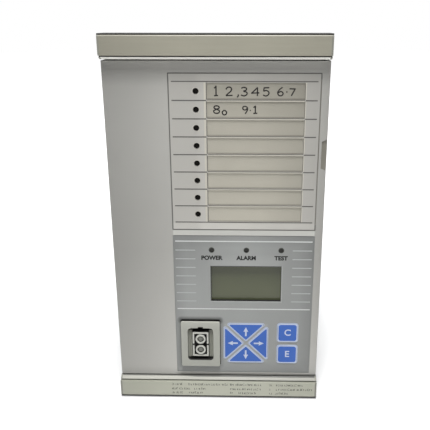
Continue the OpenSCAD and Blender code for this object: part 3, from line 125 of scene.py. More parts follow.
class Paint:
    """A node material whose colour, roughness and relief vary over the surface."""

    ROUGH_SPREAD = 0.07
    RELIEF_DEPTH = 0.2 * MM

    def __init__(self, name, rgb, rough=0.5, metal=0.0, spec=0.5, mottle=0.05, patch=22.0,
                 grain=0.03, grit=2600.0, relief=0.08, stretch=(1, 1, 1)):
        self.mat = bpy.data.materials.new(name)
        self.mat.use_nodes = True
        self.tree = self.mat.node_tree
        self.bsdf = self.tree.nodes["Principled BSDF"]
        self.coord = self.add("ShaderNodeTexCoord").outputs["Object"]
        self.split = None
        self.bsdf.inputs["Metallic"].default_value = metal
        self.bsdf.inputs["Specular IOR Level"].default_value = spec
        wide = self.noise(patch, 3)
        fine = self.noise(grit, 2, stretch)
        shade = self.math("ADD", self.span(wide, 1 - mottle, 1 + mottle),
                          self.span(fine, -grain, grain))
        self.colour = self.mix(1.0, lin(*rgb), shade, "MULTIPLY")
        self.join(self.span(fine, max(rough - self.ROUGH_SPREAD, 0.02),
                            min(rough + self.ROUGH_SPREAD, 1)), "Roughness")
        bump = self.add("ShaderNodeBump")
        bump.inputs["Strength"].default_value = relief
        bump.inputs["Distance"].default_value = self.RELIEF_DEPTH
        self.tree.links.new(fine, bump.inputs["Height"])
        self.join(bump.outputs["Normal"], "Normal")
        self.join(self.colour, "Base Color")

    def add(self, kind):
        return self.tree.nodes.new(kind)

    def join(self, socket, name):
        self.tree.links.new(socket, self.bsdf.inputs[name])

    def noise(self, scale, detail=2, stretch=(1, 1, 1)):
        place = self.add("ShaderNodeMapping")
        place.inputs["Scale"].default_value = stretch
        self.tree.links.new(self.coord, place.inputs["Vector"])
        tex = self.add("ShaderNodeTexNoise")
        tex.inputs["Scale"].default_value = scale
        tex.inputs["Detail"].default_value = detail
        self.tree.links.new(place.outputs["Vector"], tex.inputs["Vector"])
        return tex.outputs["Fac"]

    def cells(self, scale):
        """A random level for each cell, as on zinc or between the tracks of a board."""
        tex = self.add("ShaderNodeTexVoronoi")
        tex.inputs["Scale"].default_value = scale
        self.tree.links.new(self.coord, tex.inputs["Vector"])
        grey = self.add("ShaderNodeRGBToBW")
        self.tree.links.new(tex.outputs["Color"], grey.inputs["Color"])
        return grey.outputs["Val"]

    def span(self, value, low, high, start=0.25, end=0.75):
        return node_range(self.tree, value, low, high, start, end)

    def math(self, how, a, b=0.0):
        return node_math(self.tree, how, a, b)

    def both(self, a, b):
        return self.math("MULTIPLY", a, b)

    def axis(self, name):
        if self.split is None:
            self.split = self.add("ShaderNodeSeparateXYZ")
            self.tree.links.new(self.coord, self.split.inputs["Vector"])
        return self.split.outputs[name]

    def mix(self, factor, a, b, how="MIX"):
        node = self.add("ShaderNodeMix")
        node.data_type = "RGBA"
        node.blend_type = how
        for value, k in ((factor, 0), (a, 6), (b, 7)):
            feed(self.tree, value, node.inputs[k])
        return node.outputs[2]

    def tint(self, factor, rgb):
        """Lays another colour over the base where factor is 1."""
        self.colour = self.mix(factor, self.colour, lin(*rgb))
        self.join(self.colour, "Base Color")

    def shade(self, value):
        """Makes the base lighter or darker by a factor."""
        self.colour = self.mix(1.0, self.colour, value, "MULTIPLY")
        self.join(self.colour, "Base Color")

    def near(self, gap, low, high, start, end):
        """A value that runs from low to high between two distances, in millimetres."""
        return self.span(gap, low, high, start * MM, end * MM)

    def along(self, name, low, high, start, end):
        """A value that runs from low to high between two places on an axis, in millimetres."""
        return self.near(self.axis(name), low, high, start, end)

    def apart(self, value, at):
        """Distance of a value from a place, to either side."""
        return self.math("ABSOLUTE", self.math("SUBTRACT", value, at * MM))

    def away(self, x0, x1, z0, z1):
        """Distance outside a rectangle on the front, below zero inside it."""
        gaps = []
        for name, a, b in (("X", x0, x1), ("Z", z0, z1)):
            off = self.apart(self.axis(name), (a + b) / 2)
            gaps.append(self.math("SUBTRACT", off, (b - a) / 2 * MM))
        out = [self.math("MAXIMUM", gap, 0.0) for gap in gaps]
        far = self.math("SQRT", self.math("ADD", *(self.both(o, o) for o in out)))
        return self.math("ADD", far, self.math("MINIMUM", self.math("MAXIMUM", *gaps), 0.0))


PAINT = {}


def make(slot, *args, **kw):
    PAINT[slot] = Paint(slot, *args, **kw)
    return PAINT[slot]


# Materials of the front

SHADOW = (24, 24, 23)  # where a recess gets no light

p = make("bar", (164, 161, 146), rough=0.42, mottle=0.03, grain=0.03, grit=900,
         stretch=(0.03, 1, 1), relief=0.05)
# The lower bar is paler, and both get darker towards their ends
p.tint(p.along("Z", 0.0, 1.0, -100, -110), (195, 196, 180))
p.shade(p.along("X", 0.76, 1.0, -BAR_END, -20))
p.shade(p.along("X", 1.0, 0.87, 30, BAR_END))
# Painted shade in the bottom of the grooves
groove = p.apart(p.math("ABSOLUTE", p.axis("Z")), GROOVE_Z)
p.tint(p.both(p.near(groove, 1.0, 0.0, 0.4, 0.5),
              p.along("Y", 0.0, 1.0, BAR_FACE + 0.2, BAR_FACE + 0.8)), (34, 34, 30))
# Painted light and shade on the lips: the upper one painted bright, the lower one dull and darker
# to the right, with painted shade next to the panel, wider from below the port to the right
upper_lip = p.both(p.along("Z", 0.0, 1.0, LIP_Z + 0.1, LIP_Z - 0.1),
                   p.along("Z", 0.0, 1.0, 90, 100))
p.tint(upper_lip, (255, 255, 248))
lower_lip = p.both(p.along("Z", 0.0, 1.0, -LIP_Z - 0.1, -LIP_Z + 0.1),
                   p.along("Z", 1.0, 0.0, -100, -90))
p.tint(lower_lip, (170, 169, 160))
p.tint(p.both(lower_lip, p.along("X", 0.0, 0.3, 0, 70)), (110, 109, 103))
p.tint(p.both(lower_lip, p.along("Y", 0.0, 1.0, -20.05, -19.75)), (98, 98, 92))
corner = p.both(p.along("Y", 0.0, 1.0, -20.5, -20.2), p.along("X", 0.0, 1.0, -24, -18))
p.tint(p.both(lower_lip, corner), (92, 92, 87))

make("cap", (136, 136, 127), rough=0.55, relief=0.12)

p = make("panel", (176, 175, 170), rough=0.6, mottle=0.025, grain=0.035, grit=2200, relief=0.16)
# Painted light falloff, lighter and darker from left to right
p.shade(p.along("X", 0.75, 1.06, -BAR_END, -31))
p.shade(p.along("X", 1.0, 0.94, -31, -28))
p.shade(p.along("X", 1.0, 0.88, 66, BAR_END))
# Painted light and shade from the foot to the top: lighter low down, a longer painted shadow under
# the upper bar, and painted shade just above the lower bar
p.shade(p.along("Z", 1.25, 0.96, -105, -15))
p.shade(p.along("Z", 1.0, 1.05, -15, 60))
p.shade(p.along("Z", 1.0, 0.86, 100, 106))
p.shade(p.along("Z", 1.0, 1.16, 109, 112))
p.shade(p.along("Z", 0.86, 1.0, -115, -110))
# Pale strip between the overlays
strip = p.away(FILM_X0, FILM_X1, KEYPAD_TOP + 0.4, LAMP_FOOT - 0.4)
p.tint(p.near(strip, 1.0, 0.0, -0.3, 0.3), (203, 203, 197))
# Painted shade in the gap round the lamp overlay, and the keypad overlay's tone round its edge
p.tint(p.near(p.away(*LAMP_FILM), 1.0, 0.0, 0.15, 0.6), (84, 83, 79))
p.tint(p.near(p.away(*KEYPAD_FILM), 1.0, 0.0, 0.3, 0.6), (146, 148, 146))
# Painted shade on the walls of the hole for the port
hole = p.away(PORT_X0, PORT_X1, PORT_FOOT, PORT_TOP + 1)
p.tint(p.both(p.near(hole, 1.0, 0.0, 0.8, 1.2), p.along("Y", 0.0, 1.0, FACE + 0.1, FACE + 0.4)),
       (22, 22, 21))
# Dark line at the foot, right of the blank third
p.tint(p.both(p.along("Z", 1.0, 0.0, -115.2, -114.4), p.along("X", 0.0, 0.7, -34, -28)),
       (84, 84, 80))

p = make("lamp_film", (185, 183, 177), rough=0.5, mottle=0.02, grain=0.02, grit=3800, relief=0.06)
# Lighter from the lamps to the middle of the windows, darker at the right and lighter along the
# foot; painted light falloff towards the top, with a painted shadow of the upper bar along the top
# edge
p.shade(p.along("X", 1.0, 1.1, -14, -9))
p.shade(p.along("X", 1.0, 0.91, 20, 40))
p.shade(p.along("X", 1.0, 0.9, 52, 66))
p.shade(p.along("Z", 1.03, 0.95, 10, 104))
p.shade(p.along("Z", 1.13, 1.0, 5.6, 6.8))
p.shade(p.along("Z", 1.0, 0.9, 102.4, 104.4))
# Painted shade on the outermost half millimetre, like that in the gap round it
p.tint(p.near(p.away(*LAMP_FILM), 0.0, 1.0, -0.5, -0.15), (96, 95, 91))

p = make("keypad_film", (160, 162, 160), rough=0.45, mottle=0.03, grain=0.045, grit=4200,
         relief=0.07)
# Darker towards the edges, the right and both upper corners; a painted reflection of the display's
# pale border makes it lighter above the display
p.shade(p.near(p.away(*KEYPAD_FILM), 1.0, 0.82, -9, 0))
up = p.along("Z", 0.0, 1.0, -46, -12)
p.shade(p.span(p.both(p.along("X", 1.0, 0.0, -18, 14), up), 1.0, 0.78, 0, 1))
p.shade(p.span(p.both(p.along("X", 0.0, 1.0, 30, 66), up), 1.0, 0.84, 0, 1))
p.shade(p.near(p.away(COLUMN - 22, COLUMN + 22, -26, -23), 1.12, 1.0, 0, 6))
p.shade(p.along("X", 1.0, 0.84, 20, 62))
# Shadow round the port, deeper above it
p.shade(p.near(p.away(PORT_X0, PORT_X1, PORT_FOOT, PORT_TOP), 0.66, 1.0, 0, 3.5))
p.shade(p.near(p.away(PORT_X0, PORT_X1, PORT_TOP, PORT_TOP + 1.2), 0.3, 1.0, 0, 2.8))
# Lighter between the arrow keys
pad = p.away(COLUMN - PAD / 2, COLUMN + PAD / 2, KEYS_Z - PAD / 2, KEYS_Z + PAD / 2)
p.shade(p.near(pad, 1.14, 1.0, -1, 0.5))

p = make("slip", (193, 189, 176), rough=0.8, mottle=0.03, patch=45, grain=0.03, grit=1400,
         relief=0.1, spec=0.25)
# Painted light falloff darkens it towards the top; it is also darker towards the right and at the
# edge where it is drawn
p.shade(p.along("Z", 1.0, 0.9, 15, 74))
p.shade(p.along("Z", 1.0, 0.84, 76, 98))
p.shade(p.along("X", 1.0, 0.83, 30, 58))
p.shade(p.along("X", 1.0, 0.6, 69, 70))
# Light and shadow at the windows: a pale upper edge and a dark lower one in each row, but not
# on the tab at the right
row = p.math("FRACT", p.math("DIVIDE", p.math("SUBTRACT", p.axis("Z"),
                                              (LAMP_MID - ROWS / 2 * ROW) * MM), ROW * MM))
p.shade(p.math("MINIMUM", p.span(row, 1.0, 1.2, 0.82, 0.86), p.along("X", 1.2, 1.0, 60, 61)))
p.shade(p.math("MAXIMUM", p.span(row, 0.7, 1.0, 0.1, 0.13), p.along("X", 0.7, 1.0, 60, 61)))

# The keys are pale at their sides
p = make("key", (52, 101, 190), rough=0.4, mottle=0.03, grain=0.02, relief=0.05)
p.tint(p.along("Y", 0.0, 1.0, KEY_TOP + 0.01, KEY_TOP + 0.06), (196, 206, 226))

make("alarm_lens", (14, 12, 9), rough=0.45, spec=0.08, relief=0.02)
make("status_lens", (46, 46, 44), rough=0.3, spec=0.25, relief=0.02)
make("black_plastic", (26, 26, 25), rough=0.6, spec=0.3, relief=0.15)
p = make("display", (89, 93, 70), rough=0.18, mottle=0.04, patch=40, grain=0.01, relief=0.01)
# Painted light and shade: lighter towards the foot of the display, darker towards its top
p.shade(p.along("Z", 1.12, 0.86, -52, -29))
make("diffuser", (226, 225, 218), rough=0.7)

p = make("bezel", (176, 177, 168), rough=0.5, mottle=0.025, grain=0.03, relief=0.12)
# Shadow on the walls of the opening, on what lies behind the panel and below the port's body
walls = p.near(p.away(OPEN_X0, OPEN_X1, OPEN_FOOT, OPEN_TOP + 1.1), 1.0, 0.0, 0.05, 0.15)
p.tint(p.both(p.along("Y", 0.0, 1.0, BEZEL_FACE + 0.3, BEZEL_FACE + 1.9), walls), SHADOW)
p.tint(p.along("Y", 0.0, 1.0, FACE + 0.1, FACE + 0.5), SHADOW)
under = p.away(OPEN_X0 + 2.5, OPEN_X1 - 2.5, OPEN_FOOT + 1.9, KEYS_Z)
p.tint(p.both(p.near(under, 1.0, 0.0, 2.4, 2.7), p.along("Z", 1.0, 0.0, -99.5, -97.5)), SHADOW)
# Painted light makes it lighter towards the top, and painted shadow darkens the rear of the upper
# wall, which lies in the shadow of the gap
p.shade(p.along("Z", 1.0, 1.1, PORT_TOP - 6, PORT_TOP - 1))
roof = p.along("Z", 0.0, 1.0, PORT_TOP - 0.5, PORT_TOP - 0.2)
p.tint(p.both(roof, p.along("Y", 0.0, 1.0, BEZEL_FACE + 1.3, BEZEL_FACE + 1.6)), SHADOW)

# Painted shade makes the port's body dark in its depth and in the slot between its cells
p = make("port_white", (200, 201, 193), rough=0.5, relief=0.1)
p.tint(p.near(p.apart(p.axis("Z"), BODY_Z), 1.0, 0.0, 0.5, 0.8), (24, 24, 22))
p.tint(p.along("Y", 0.0, 1.0, BEZEL_FACE + 0.8, BEZEL_FACE + 1.4), (16, 16, 15))

make("port_lens", (112, 113, 106), rough=0.15, mottle=0.08, patch=300, relief=0.02)
make("rail", (160, 161, 151), rough=0.5, mottle=0.06, patch=150)
make("dark_steel", (34, 33, 30), rough=0.5, metal=0.3, relief=0.1)
make("gasket_rubber", (30, 30, 31), rough=0.85, spec=0.2, relief=0.2)

# Materials of the case and the terminals
make("zinc", (176, 178, 178), rough=0.32, metal=0.9, mottle=0.06, patch=200, relief=0.04)
p = make("case_steel", (176, 179, 180), rough=0.4, metal=0.75, mottle=0.05, grain=0.02,
         relief=0.05)
p.shade(p.span(p.cells(130), 0.9, 1.06, 0.0, 1.0))
# The top faces the lights, so its base is darker
p.shade(p.along("Z", 1.0, 0.45, CASE_TOP - 0.7, CASE_TOP - 0.2))
make("earth_brass", (196, 162, 92), rough=0.3, metal=0.9, mottle=0.08, patch=150)
make("plug_green", (58, 122, 72), rough=0.5, mottle=0.04)
make("pin_metal", (206, 205, 200), rough=0.28, metal=0.9)
make("fibre_blue", (44, 58, 102), rough=0.5)

# Materials inside
p = make("board", (30, 88, 50), rough=0.4, mottle=0.06, relief=0.05)
p.tint(p.span(p.cells(420), 0.0, 0.5, 0.62, 0.66), (62, 122, 70))
make("core", (78, 74, 70), rough=0.6, metal=0.4, grain=0.12, grit=900, stretch=(1, 0.05, 1))
make("coil", (176, 116, 62), rough=0.5, mottle=0.1, grain=0.1, grit=1500)
make("supply_block", (150, 124, 72), rough=0.45, mottle=0.05)
make("capacitor", (42, 46, 58), rough=0.3, mottle=0.05)
make("sink", (56, 58, 60), rough=0.5, metal=0.5)
make("relay_case", (206, 206, 198), rough=0.45)
make("connector", (214, 208, 190), rough=0.5)
make("ribbon", (168, 168, 166), rough=0.6, grain=0.12, grit=500)

# Inks
make("ink_row", (92, 91, 87), rough=0.55, grain=0.05)
make("ink_window", (112, 110, 104), rough=0.55, grain=0.05)
make("ink_dark", (26, 26, 25), rough=0.6, grain=0.06, spec=0.3)
make("ink_pale", (206, 202, 190), rough=0.5)
make("ink_rim", (193, 190, 182), rough=0.5)
make("ink_white", (216, 219, 217), rough=0.5)
make("ink_line", (186, 190, 189), rough=0.5)
make("ink_frame", (172, 174, 172), rough=0.5)
make("ink_border", (202, 211, 230), rough=0.45)
make("ink_edge", (62, 63, 57), rough=0.55)
make("ink_pen", (30, 28, 27), rough=0.6, mottle=0.15, patch=300, spec=0.3)
make("ink_rating", (62, 64, 58), rough=0.6)
make("ink_rear", (40, 42, 44), rough=0.6)

slot_of = {part["node"]: part["material_slot"] for part in frame["record"]["subparts"]}
for name, obj in nodes.items():
    for place in obj.material_slots:
        place.material = PAINT[slot_of[name]].mat

# Edges that catch the light
for name, width in (("top_bar", 0.18), ("bottom_bar", 0.18), ("port_bezel", 0.45),
                    ("front_panel", 0.12)):
    bevel = nodes[name].modifiers.new("edge", "BEVEL")
    bevel.width = width * MM
    bevel.segments = 2
    bevel.limit_method = "ANGLE"
    bevel.angle_limit = math.radians(50)


# Outlines in X and Z

def area(loop):
    return sum(a[0] * b[1] - b[0] * a[1] for a, b in zip(loop, loop[1:] + loop[:1])) / 2


def circle(x, z, r, n=32):
    turns = [2 * math.pi * i / n for i in range(n)]
    return [(x + r * math.cos(t), z + r * math.sin(t)) for t in turns]


def rounded(points, r, steps=6):
    """A convex outline with round corners."""
    out, n = [], len(points)
    for i in range(n):
        a, p, b = (Vector(points[(i + k) % n]) for k in (-1, 0, 1))
        ua, ub = (a - p).normalized(), (b - p).normalized()
        cos = ua.dot(ub)
        run = r * math.sqrt((1 + cos) / (1 - cos))
        mid = p + (ua + ub).normalized() * r / math.sqrt((1 - cos) / 2)
        start, end = p + ua * run - mid, p + ub * run - mid
        turn = start.angle_signed(end)
        for s in range(steps + 1):
            c, q = math.cos(-turn * s / steps), math.sin(-turn * s / steps)
            v = mid + Vector((start.x * c - start.y * q, start.x * q + start.y * c))
            out.append((v.x, v.y))
    return out


def rounded_box(x, z, w, h, r):
    return rounded([(x - w / 2, z - h / 2), (x + w / 2, z - h / 2), (x + w / 2, z + h / 2),
                    (x - w / 2, z + h / 2)], r)


# Pieces

def add_piece(name, mesh, body, ink):
    obj = bpy.data.objects.new(name, mesh)
    bpy.context.collection.objects.link(obj)
    mesh.materials.clear()
    mesh.materials.append(PAINT[ink].mat)
    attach(obj, body)


def piece(name, verts, faces, body, ink):
    mesh = bpy.data.meshes.new(name)
    mesh.from_pydata([Vector(v) * MM for v in verts], [], faces)
    mesh.update()
    add_piece(name, mesh, body, ink)


class Sheet:
    """Thin flat shapes that lie on a face and look along -Y, or along +Y at the rear."""

    def __init__(self, y, look=-1):
        self.back, self.front = y, y + look * INK
        self.look = look
        self.verts, self.faces = [], []

    def lay(self, loop):
        self.verts += [(x, self.front, z) for x, z in loop]
        self.verts += [(x, self.back, z) for x, z in loop]

    def shape(self, loop):
        if area(loop) * self.look > 0:
            loop = loop[::-1]
        n, k = len(loop), len(self.verts)
        self.lay(loop)
        self.faces.append(list(range(k, k + n)))
        for i in range(n):
            j = (i + 1) % n
            self.faces.append([k + i, k + n + i, k + n + j, k + j])
        return self

    def rect(self, x0, x1, z0, z1):
        return self.shape([(x0, z0), (x1, z0), (x1, z1), (x0, z1)])

    def ring(self, outer, inner):
        n, k = len(outer), len(self.verts)
        self.lay(outer)
        self.lay(inner)
        for i in range(n):
            j = (i + 1) % n
            a, b, c, d = k + i, k + j, k + 2 * n + j, k + 2 * n + i
            self.faces.append([a, b, c, d])
            self.faces.append([a, k + n + i, k + n + j, b])
            self.faces.append([d, c, k + 3 * n + j, k + 3 * n + i])
        return self

    def done(self, name, body, ink):
        piece(name, self.verts, self.faces, body, ink)


def from_curve(name, curve, place, body, ink):
    """Makes a curve into a mesh piece."""
    maker = bpy.data.objects.new(name + "_curve", curve)
    bpy.context.collection.objects.link(maker)
    bpy.context.view_layer.update()
    depsgraph = bpy.context.evaluated_depsgraph_get()
    mesh = bpy.data.meshes.new_from_object(maker.evaluated_get(depsgraph))
    bpy.data.objects.remove(maker)
    mesh.transform(place)
    mesh.name = name
    add_piece(name, mesh, body, ink)


def words(name, text, x, z, y, size, body, ink, look=-1, weight=0.0, line=1.0):
    """Flat lettering, centred on a place."""
    curve = bpy.data.curves.new(name, "FONT")
    curve.body = text
    curve.size = size * MM
    curve.align_x = "CENTER"
    curve.align_y = "CENTER"
    curve.space_line = line
    curve.extrude = INK * MM / 2
    curve.offset = weight * MM
    curve.resolution_u = 4
    half_turn = Matrix.Rotation(math.pi if look > 0 else 0, 4, "Z")
    upright = Matrix.Rotation(math.pi / 2, 4, "X")
    place = Matrix.Translation(Vector((x, y + look * INK / 2, z)) * MM)
    from_curve(name, curve, place @ half_turn @ upright, body, ink)


# Strokes of handwritten digits in a unit square, each with a mark that says if it bends smoothly.
# The point stands for a short dash at half height.
STROKES = {
    "1": [([(0.1, 0.78), (0.5, 1.0), (0.5, 0.0)], False), ([(0.05, 0.0), (0.95, 0.03)], False)],
    "2": [([(0.05, 0.75), (0.3, 1.0), (0.8, 0.92), (0.8, 0.62), (0.4, 0.28), (0.05, 0.0)], True),
          ([(0.05, 0.0), (1.0, 0.04)], False)],
    "3": [([(0.1, 0.9), (0.5, 1.0), (0.85, 0.8), (0.4, 0.55)], True),
          ([(0.4, 0.55), (0.92, 0.32), (0.55, 0.0), (0.05, 0.1)], True)],
    "4": [([(0.75, 0.0), (0.75, 1.0), (0.0, 0.35), (1.0, 0.38)], False)],
    "5": [([(0.95, 1.0), (0.2, 0.97), (0.12, 0.56)], False),
          ([(0.12, 0.56), (0.55, 0.64), (0.92, 0.34), (0.55, 0.0), (0.05, 0.1)], True)],
    "6": [([(0.8, 1.0), (0.3, 0.7), (0.06, 0.3), (0.42, 0.0), (0.9, 0.22), (0.62, 0.5),
            (0.12, 0.34)], True)],
    "7": [([(0.0, 1.0), (1.0, 0.97), (0.35, 0.0)], False)],
    "8": [([(0.5, 0.55), (0.1, 0.78), (0.5, 1.0), (0.9, 0.78), (0.5, 0.55), (0.05, 0.26),
            (0.5, 0.0), (0.95, 0.26), (0.52, 0.54)], True)],
    "9": [([(0.88, 0.75), (0.5, 0.5), (0.1, 0.74), (0.45, 1.0), (0.88, 0.75), (0.8, 0.35),
            (0.5, 0.0)], True)],
    "0": [([(0.5, 1.0), (0.05, 0.5), (0.5, 0.0), (0.95, 0.5), (0.52, 0.99)], True)],
    ",": [([(0.6, 0.1), (0.7, -0.02), (0.2, -0.28)], True)],
    ".": [([(0.2, 0.44), (0.8, 0.42)], False)],
}
PEN = 0.86  # width of a stroke
PEN_FLAT = 0.08  # how far the round strokes are pressed flat
STRAIGHT = (0, 0.06, 0.5, 0.94)  # knots along a straight stretch, which keep its ends sharp


def pen(name, marks, y, body, ink):
    """Strokes of a pen on paper, from round strokes pressed flat."""
    curve = bpy.data.curves.new(name, "CURVE")
    curve.dimensions = "3D"
    curve.bevel_depth = PEN / 2 * MM
    curve.bevel_resolution = 2
    curve.resolution_u = 6
    curve.use_fill_caps = True
    for digit, x0, x1, z0, z1 in marks:
        for points, smooth in STROKES[digit]:
            path = [Vector((x0 + u * (x1 - x0), 0, z0 + v * (z1 - z0))) for u, v in points]
            if not smooth:
                pairs = zip(path, path[1:])
                path = [a.lerp(b, t) for a, b in pairs for t in STRAIGHT] + path[-1:]
            line = curve.splines.new("BEZIER")
            line.bezier_points.add(len(path) - 1)
            for knot, at in zip(line.bezier_points, path):
                knot.co = at * MM
                knot.handle_left_type = knot.handle_right_type = "AUTO"
    place = Matrix.Translation((0, y * MM, 0)) @ Matrix.Diagonal((1, PEN_FLAT, 1, 1))
    from_curve(name, curve, place, body, ink)


def row_z(k):
    """Height of the line under row k, counted from the foot of the windows."""
    return LAMP_MID + (k - ROWS / 2) * ROW


# Print on the lamp overlay, with painted shadows and highlights at its windows
LINE_X0, LINE_X1, LINE_HALF = -29.0, 66.4, 0.38
PLAY = 0.02  # keeps the print and the painted shadows and highlights off the edges of the windows
WINDOW_END = 0.5  # how far the painted shadows and highlights beside a window stop short of its row's lines

lines = Sheet(FACE)
for k in range(ROWS + 1):
    z = row_z(k)
    if k in (0, ROWS):
        lines.rect(LINE_X0, LINE_X1, z - 0.2, z + 0.5)
    else:
        lines.rect(LINE_X0, WINDOW_X0 - 0.5, z - LINE_HALF, z + LINE_HALF)
        lines.rect(WINDOW_X1 + 0.5, LINE_X1, z - LINE_HALF, z + LINE_HALF)
lines.done("lamp_row_lines", "case", "ink_row")

# Painted shadows on the upper half of each bar and beside each window; pale print on the lower half
# of each bar, with painted highlights beside each window
dark, pale = Sheet(FACE), Sheet(FACE)
for k in range(1, ROWS):
    z = row_z(k)
    dark.rect(WINDOW_X0 + PLAY, WINDOW_X1 - PLAY, z, z + WINDOW_BAR / 2 - PLAY)
    pale.rect(WINDOW_X0 + PLAY, WINDOW_X1 - PLAY, z - WINDOW_BAR / 2 + PLAY, z - PLAY)
for k in range(ROWS):
    z0, z1 = row_z(k) + WINDOW_END, row_z(k + 1) - WINDOW_END
    dark.rect(WINDOW_X0 - 0.55, WINDOW_X0 - PLAY, z0, z1)
    dark.rect(WINDOW_X1 + PLAY, WINDOW_X1 + 0.35, z0, z1)
    pale.rect(WINDOW_X0 - 2.0, WINDOW_X0 - 0.6, z0, z1)
    pale.rect(WINDOW_X1 + 0.37, WINDOW_X1 + 0.9, z0, z1)
dark.done("window_shadows", "case", "ink_window")
pale.done("window_edges", "case", "ink_pale")

RIM_R, WELL_R, HOLE_R = 2.65, 2.02, 1.86
rims, wells = Sheet(FACE), Sheet(FACE)
for k in range(ROWS):
    z = row_z(k + 0.5)
    rims.ring(circle(LAMP_COLUMN, z, RIM_R), circle(LAMP_COLUMN, z, WELL_R))
    wells.ring(circle(LAMP_COLUMN, z, WELL_R), circle(LAMP_COLUMN, z, HOLE_R))
rims.done("lamp_rims", "case", "ink_rim")
wells.done("lamp_wells", "case", "ink_dark")

# Numbers written on the label slip, in the middle of the two upper rows
one, two = row_z(ROWS - 0.5), row_z(ROWS - 1.5)
pen("slip_numbers", [
    ("1", -1.3, 1.7, one - 3.0, one + 3.1), ("2", 6.4, 11.0, one - 2.9, one + 2.4),
    (",", 13.6, 15.2, one - 2.6, one + 2.4), ("3", 16.2, 20.8, one - 3.0, one + 2.4),
    ("4", 23.4, 28.4, one - 3.1, one + 2.2), ("5", 30.6, 35.0, one - 3.0, one + 2.3),
    ("6", 40.1, 44.2, one - 2.9, one + 2.5), (".", 45.6, 46.9, one - 2.6, one + 2.4),
    ("7", 47.9, 51.6, one - 2.9, one + 1.6),
    ("8", -1.7, 2.6, two - 2.4, two + 2.5), ("0", 4.0, 7.2, two - 3.4, two - 0.2),
    ("9", 17.2, 21.2, two - 2.6, two + 2.3), (".", 22.0, 23.2, two - 2.4, two + 2.2),
    ("1", 24.4, 27.4, two - 2.4, two + 2.4),
], SLIP, "slip", "ink_pen")

# Lines on the keypad overlay
UPPER_LINE, LOWER_LINE = (-29.7, 67.2, -7.8, -7.0), (-29.7, 67.3, -60.8, -60.0)
SHORT_LEFT, SHORT_RIGHT = (-29.8, -15.7), (53.5, 67.2)
SHORT_LINES, SHORT_PITCH, SHORT_HALF = 7, 6.66, 0.3
long_lines = Sheet(FACE).rect(*UPPER_LINE).rect(*LOWER_LINE)
long_lines.done("keypad_long_lines", "case", "ink_white")
short = Sheet(FACE)
for k in range(SHORT_LINES):
    z = STATUS_Z - SHORT_PITCH * k
    for x0, x1 in (SHORT_LEFT, SHORT_RIGHT):
        short.rect(x0, x1, z - SHORT_HALF, z + SHORT_HALF)
short.done("keypad_short_lines", "case", "ink_line")

# Border of the display, with a dark edge over it at the top and left
rim = Sheet(FACE)
rim.ring(rounded_box(COLUMN, DISPLAY_Z, DISPLAY_W + 1.5, DISPLAY_H + 1.5, 0.5),
         rounded_box(COLUMN, DISPLAY_Z, DISPLAY_W + 0.1, DISPLAY_H + 0.1, 0.05))
rim.done("display_border", "case", "ink_frame")
left, top = COLUMN - DISPLAY_W / 2, DISPLAY_Z + DISPLAY_H / 2
edge = Sheet(FACE - INK)
edge.rect(left - 0.55, left + DISPLAY_W, top + 0.06, top + 0.6)
edge.rect(left - 0.55, left - 0.06, top - DISPLAY_H, top + 0.06)
edge.done("display_edge", "case", "ink_edge")

# Wells and legends of the status lamps
STATUS_WELL_R, STATUS_HOLE_R = 2.05, 1.5
STATUS_RISE = 0.2  # a well reaches further above its lamp than below
LEGEND_DROP, LEGEND_SIZE, LEGEND_WEIGHT = 5.9, 4.3, 0.19
wells = Sheet(FACE)
for k in (-1, 0, 1):
    x = COLUMN + k * STATUS_PITCH
    wells.ring(circle(x, STATUS_Z + STATUS_RISE, STATUS_WELL_R), circle(x, STATUS_Z, STATUS_HOLE_R))
wells.done("status_wells", "case", "ink_edge")
for k, text in enumerate(("POWER", "ALARM", "TEST")):
    words("legend_%d" % (k + 1), text, COLUMN + (k - 1) * STATUS_PITCH, STATUS_Z - LEGEND_DROP,
          FACE, LEGEND_SIZE, "case", "ink_dark", weight=LEGEND_WEIGHT)


# Print on and round the keys. Each outline is given by how far it lies outside the key's edge
# and by the radius of its corners.

def turned(points, angle):
    """Points round the middle of the arrow keys."""
    c, s = math.cos(angle), math.sin(angle)
    return [(COLUMN + x * c - z * s, KEYS_Z + x * s + z * c) for x, z in points]


def arrow_key(grow, r, angle):
    apex, edge = PAD_APEX - grow * math.sqrt(2), PAD / 2 + grow
    return turned(rounded([(0, apex), (edge - apex, edge), (apex - edge, edge)], r), angle)


def square_key(grow, r, z):
    size = SQUARE_SIZE + 2 * grow
    return rounded_box(SQUARE_X, z, size, size, r)


def key_rings(name, border, outline):
    Sheet(KEY_TOP).ring(*border).done("key_%s_border" % name, "key_%s_body" % name, "ink_border")
    Sheet(FACE).ring(*outline).done("key_%s_outline" % name, "case", "ink_border")


ARROW = [(0, 13.4), (-1.85, 9.6), (-0.62, 9.9), (-0.62, 6.0), (0.62, 6.0), (0.62, 9.9),
         (1.85, 9.6)]
LETTER_SIZE, LETTER_WEIGHT = 7.2, 0.14
for name, degrees in (("up", 0), ("left", 90), ("down", 180), ("right", 270)):
    t = math.radians(degrees)
    key_rings(name, border=(arrow_key(-0.04, 1.06, t), arrow_key(-0.72, 0.6, t)),
              outline=(arrow_key(0.55, 1.5, t), arrow_key(0.24, 1.3, t)))
    mark = Sheet(KEY_TOP).shape(turned(ARROW, t))
    mark.done("key_%s_arrow" % name, "key_%s_body" % name, "ink_border")
for name, side, letter in (("clear", 1, "C"), ("enter", -1, "E")):
    z = KEYS_Z + side * SQUARE_PITCH / 2
    key_rings(name, border=(square_key(-0.04, 1.56, z), square_key(-0.75, 1.8, z)),
              outline=(square_key(0.55, 2.3, z), square_key(0.24, 1.9, z)))
    words("key_%s_letter" % name, letter, SQUARE_X, z, KEY_TOP, LETTER_SIZE, "key_%s_body" % name,
          "ink_border", weight=LETTER_WEIGHT)

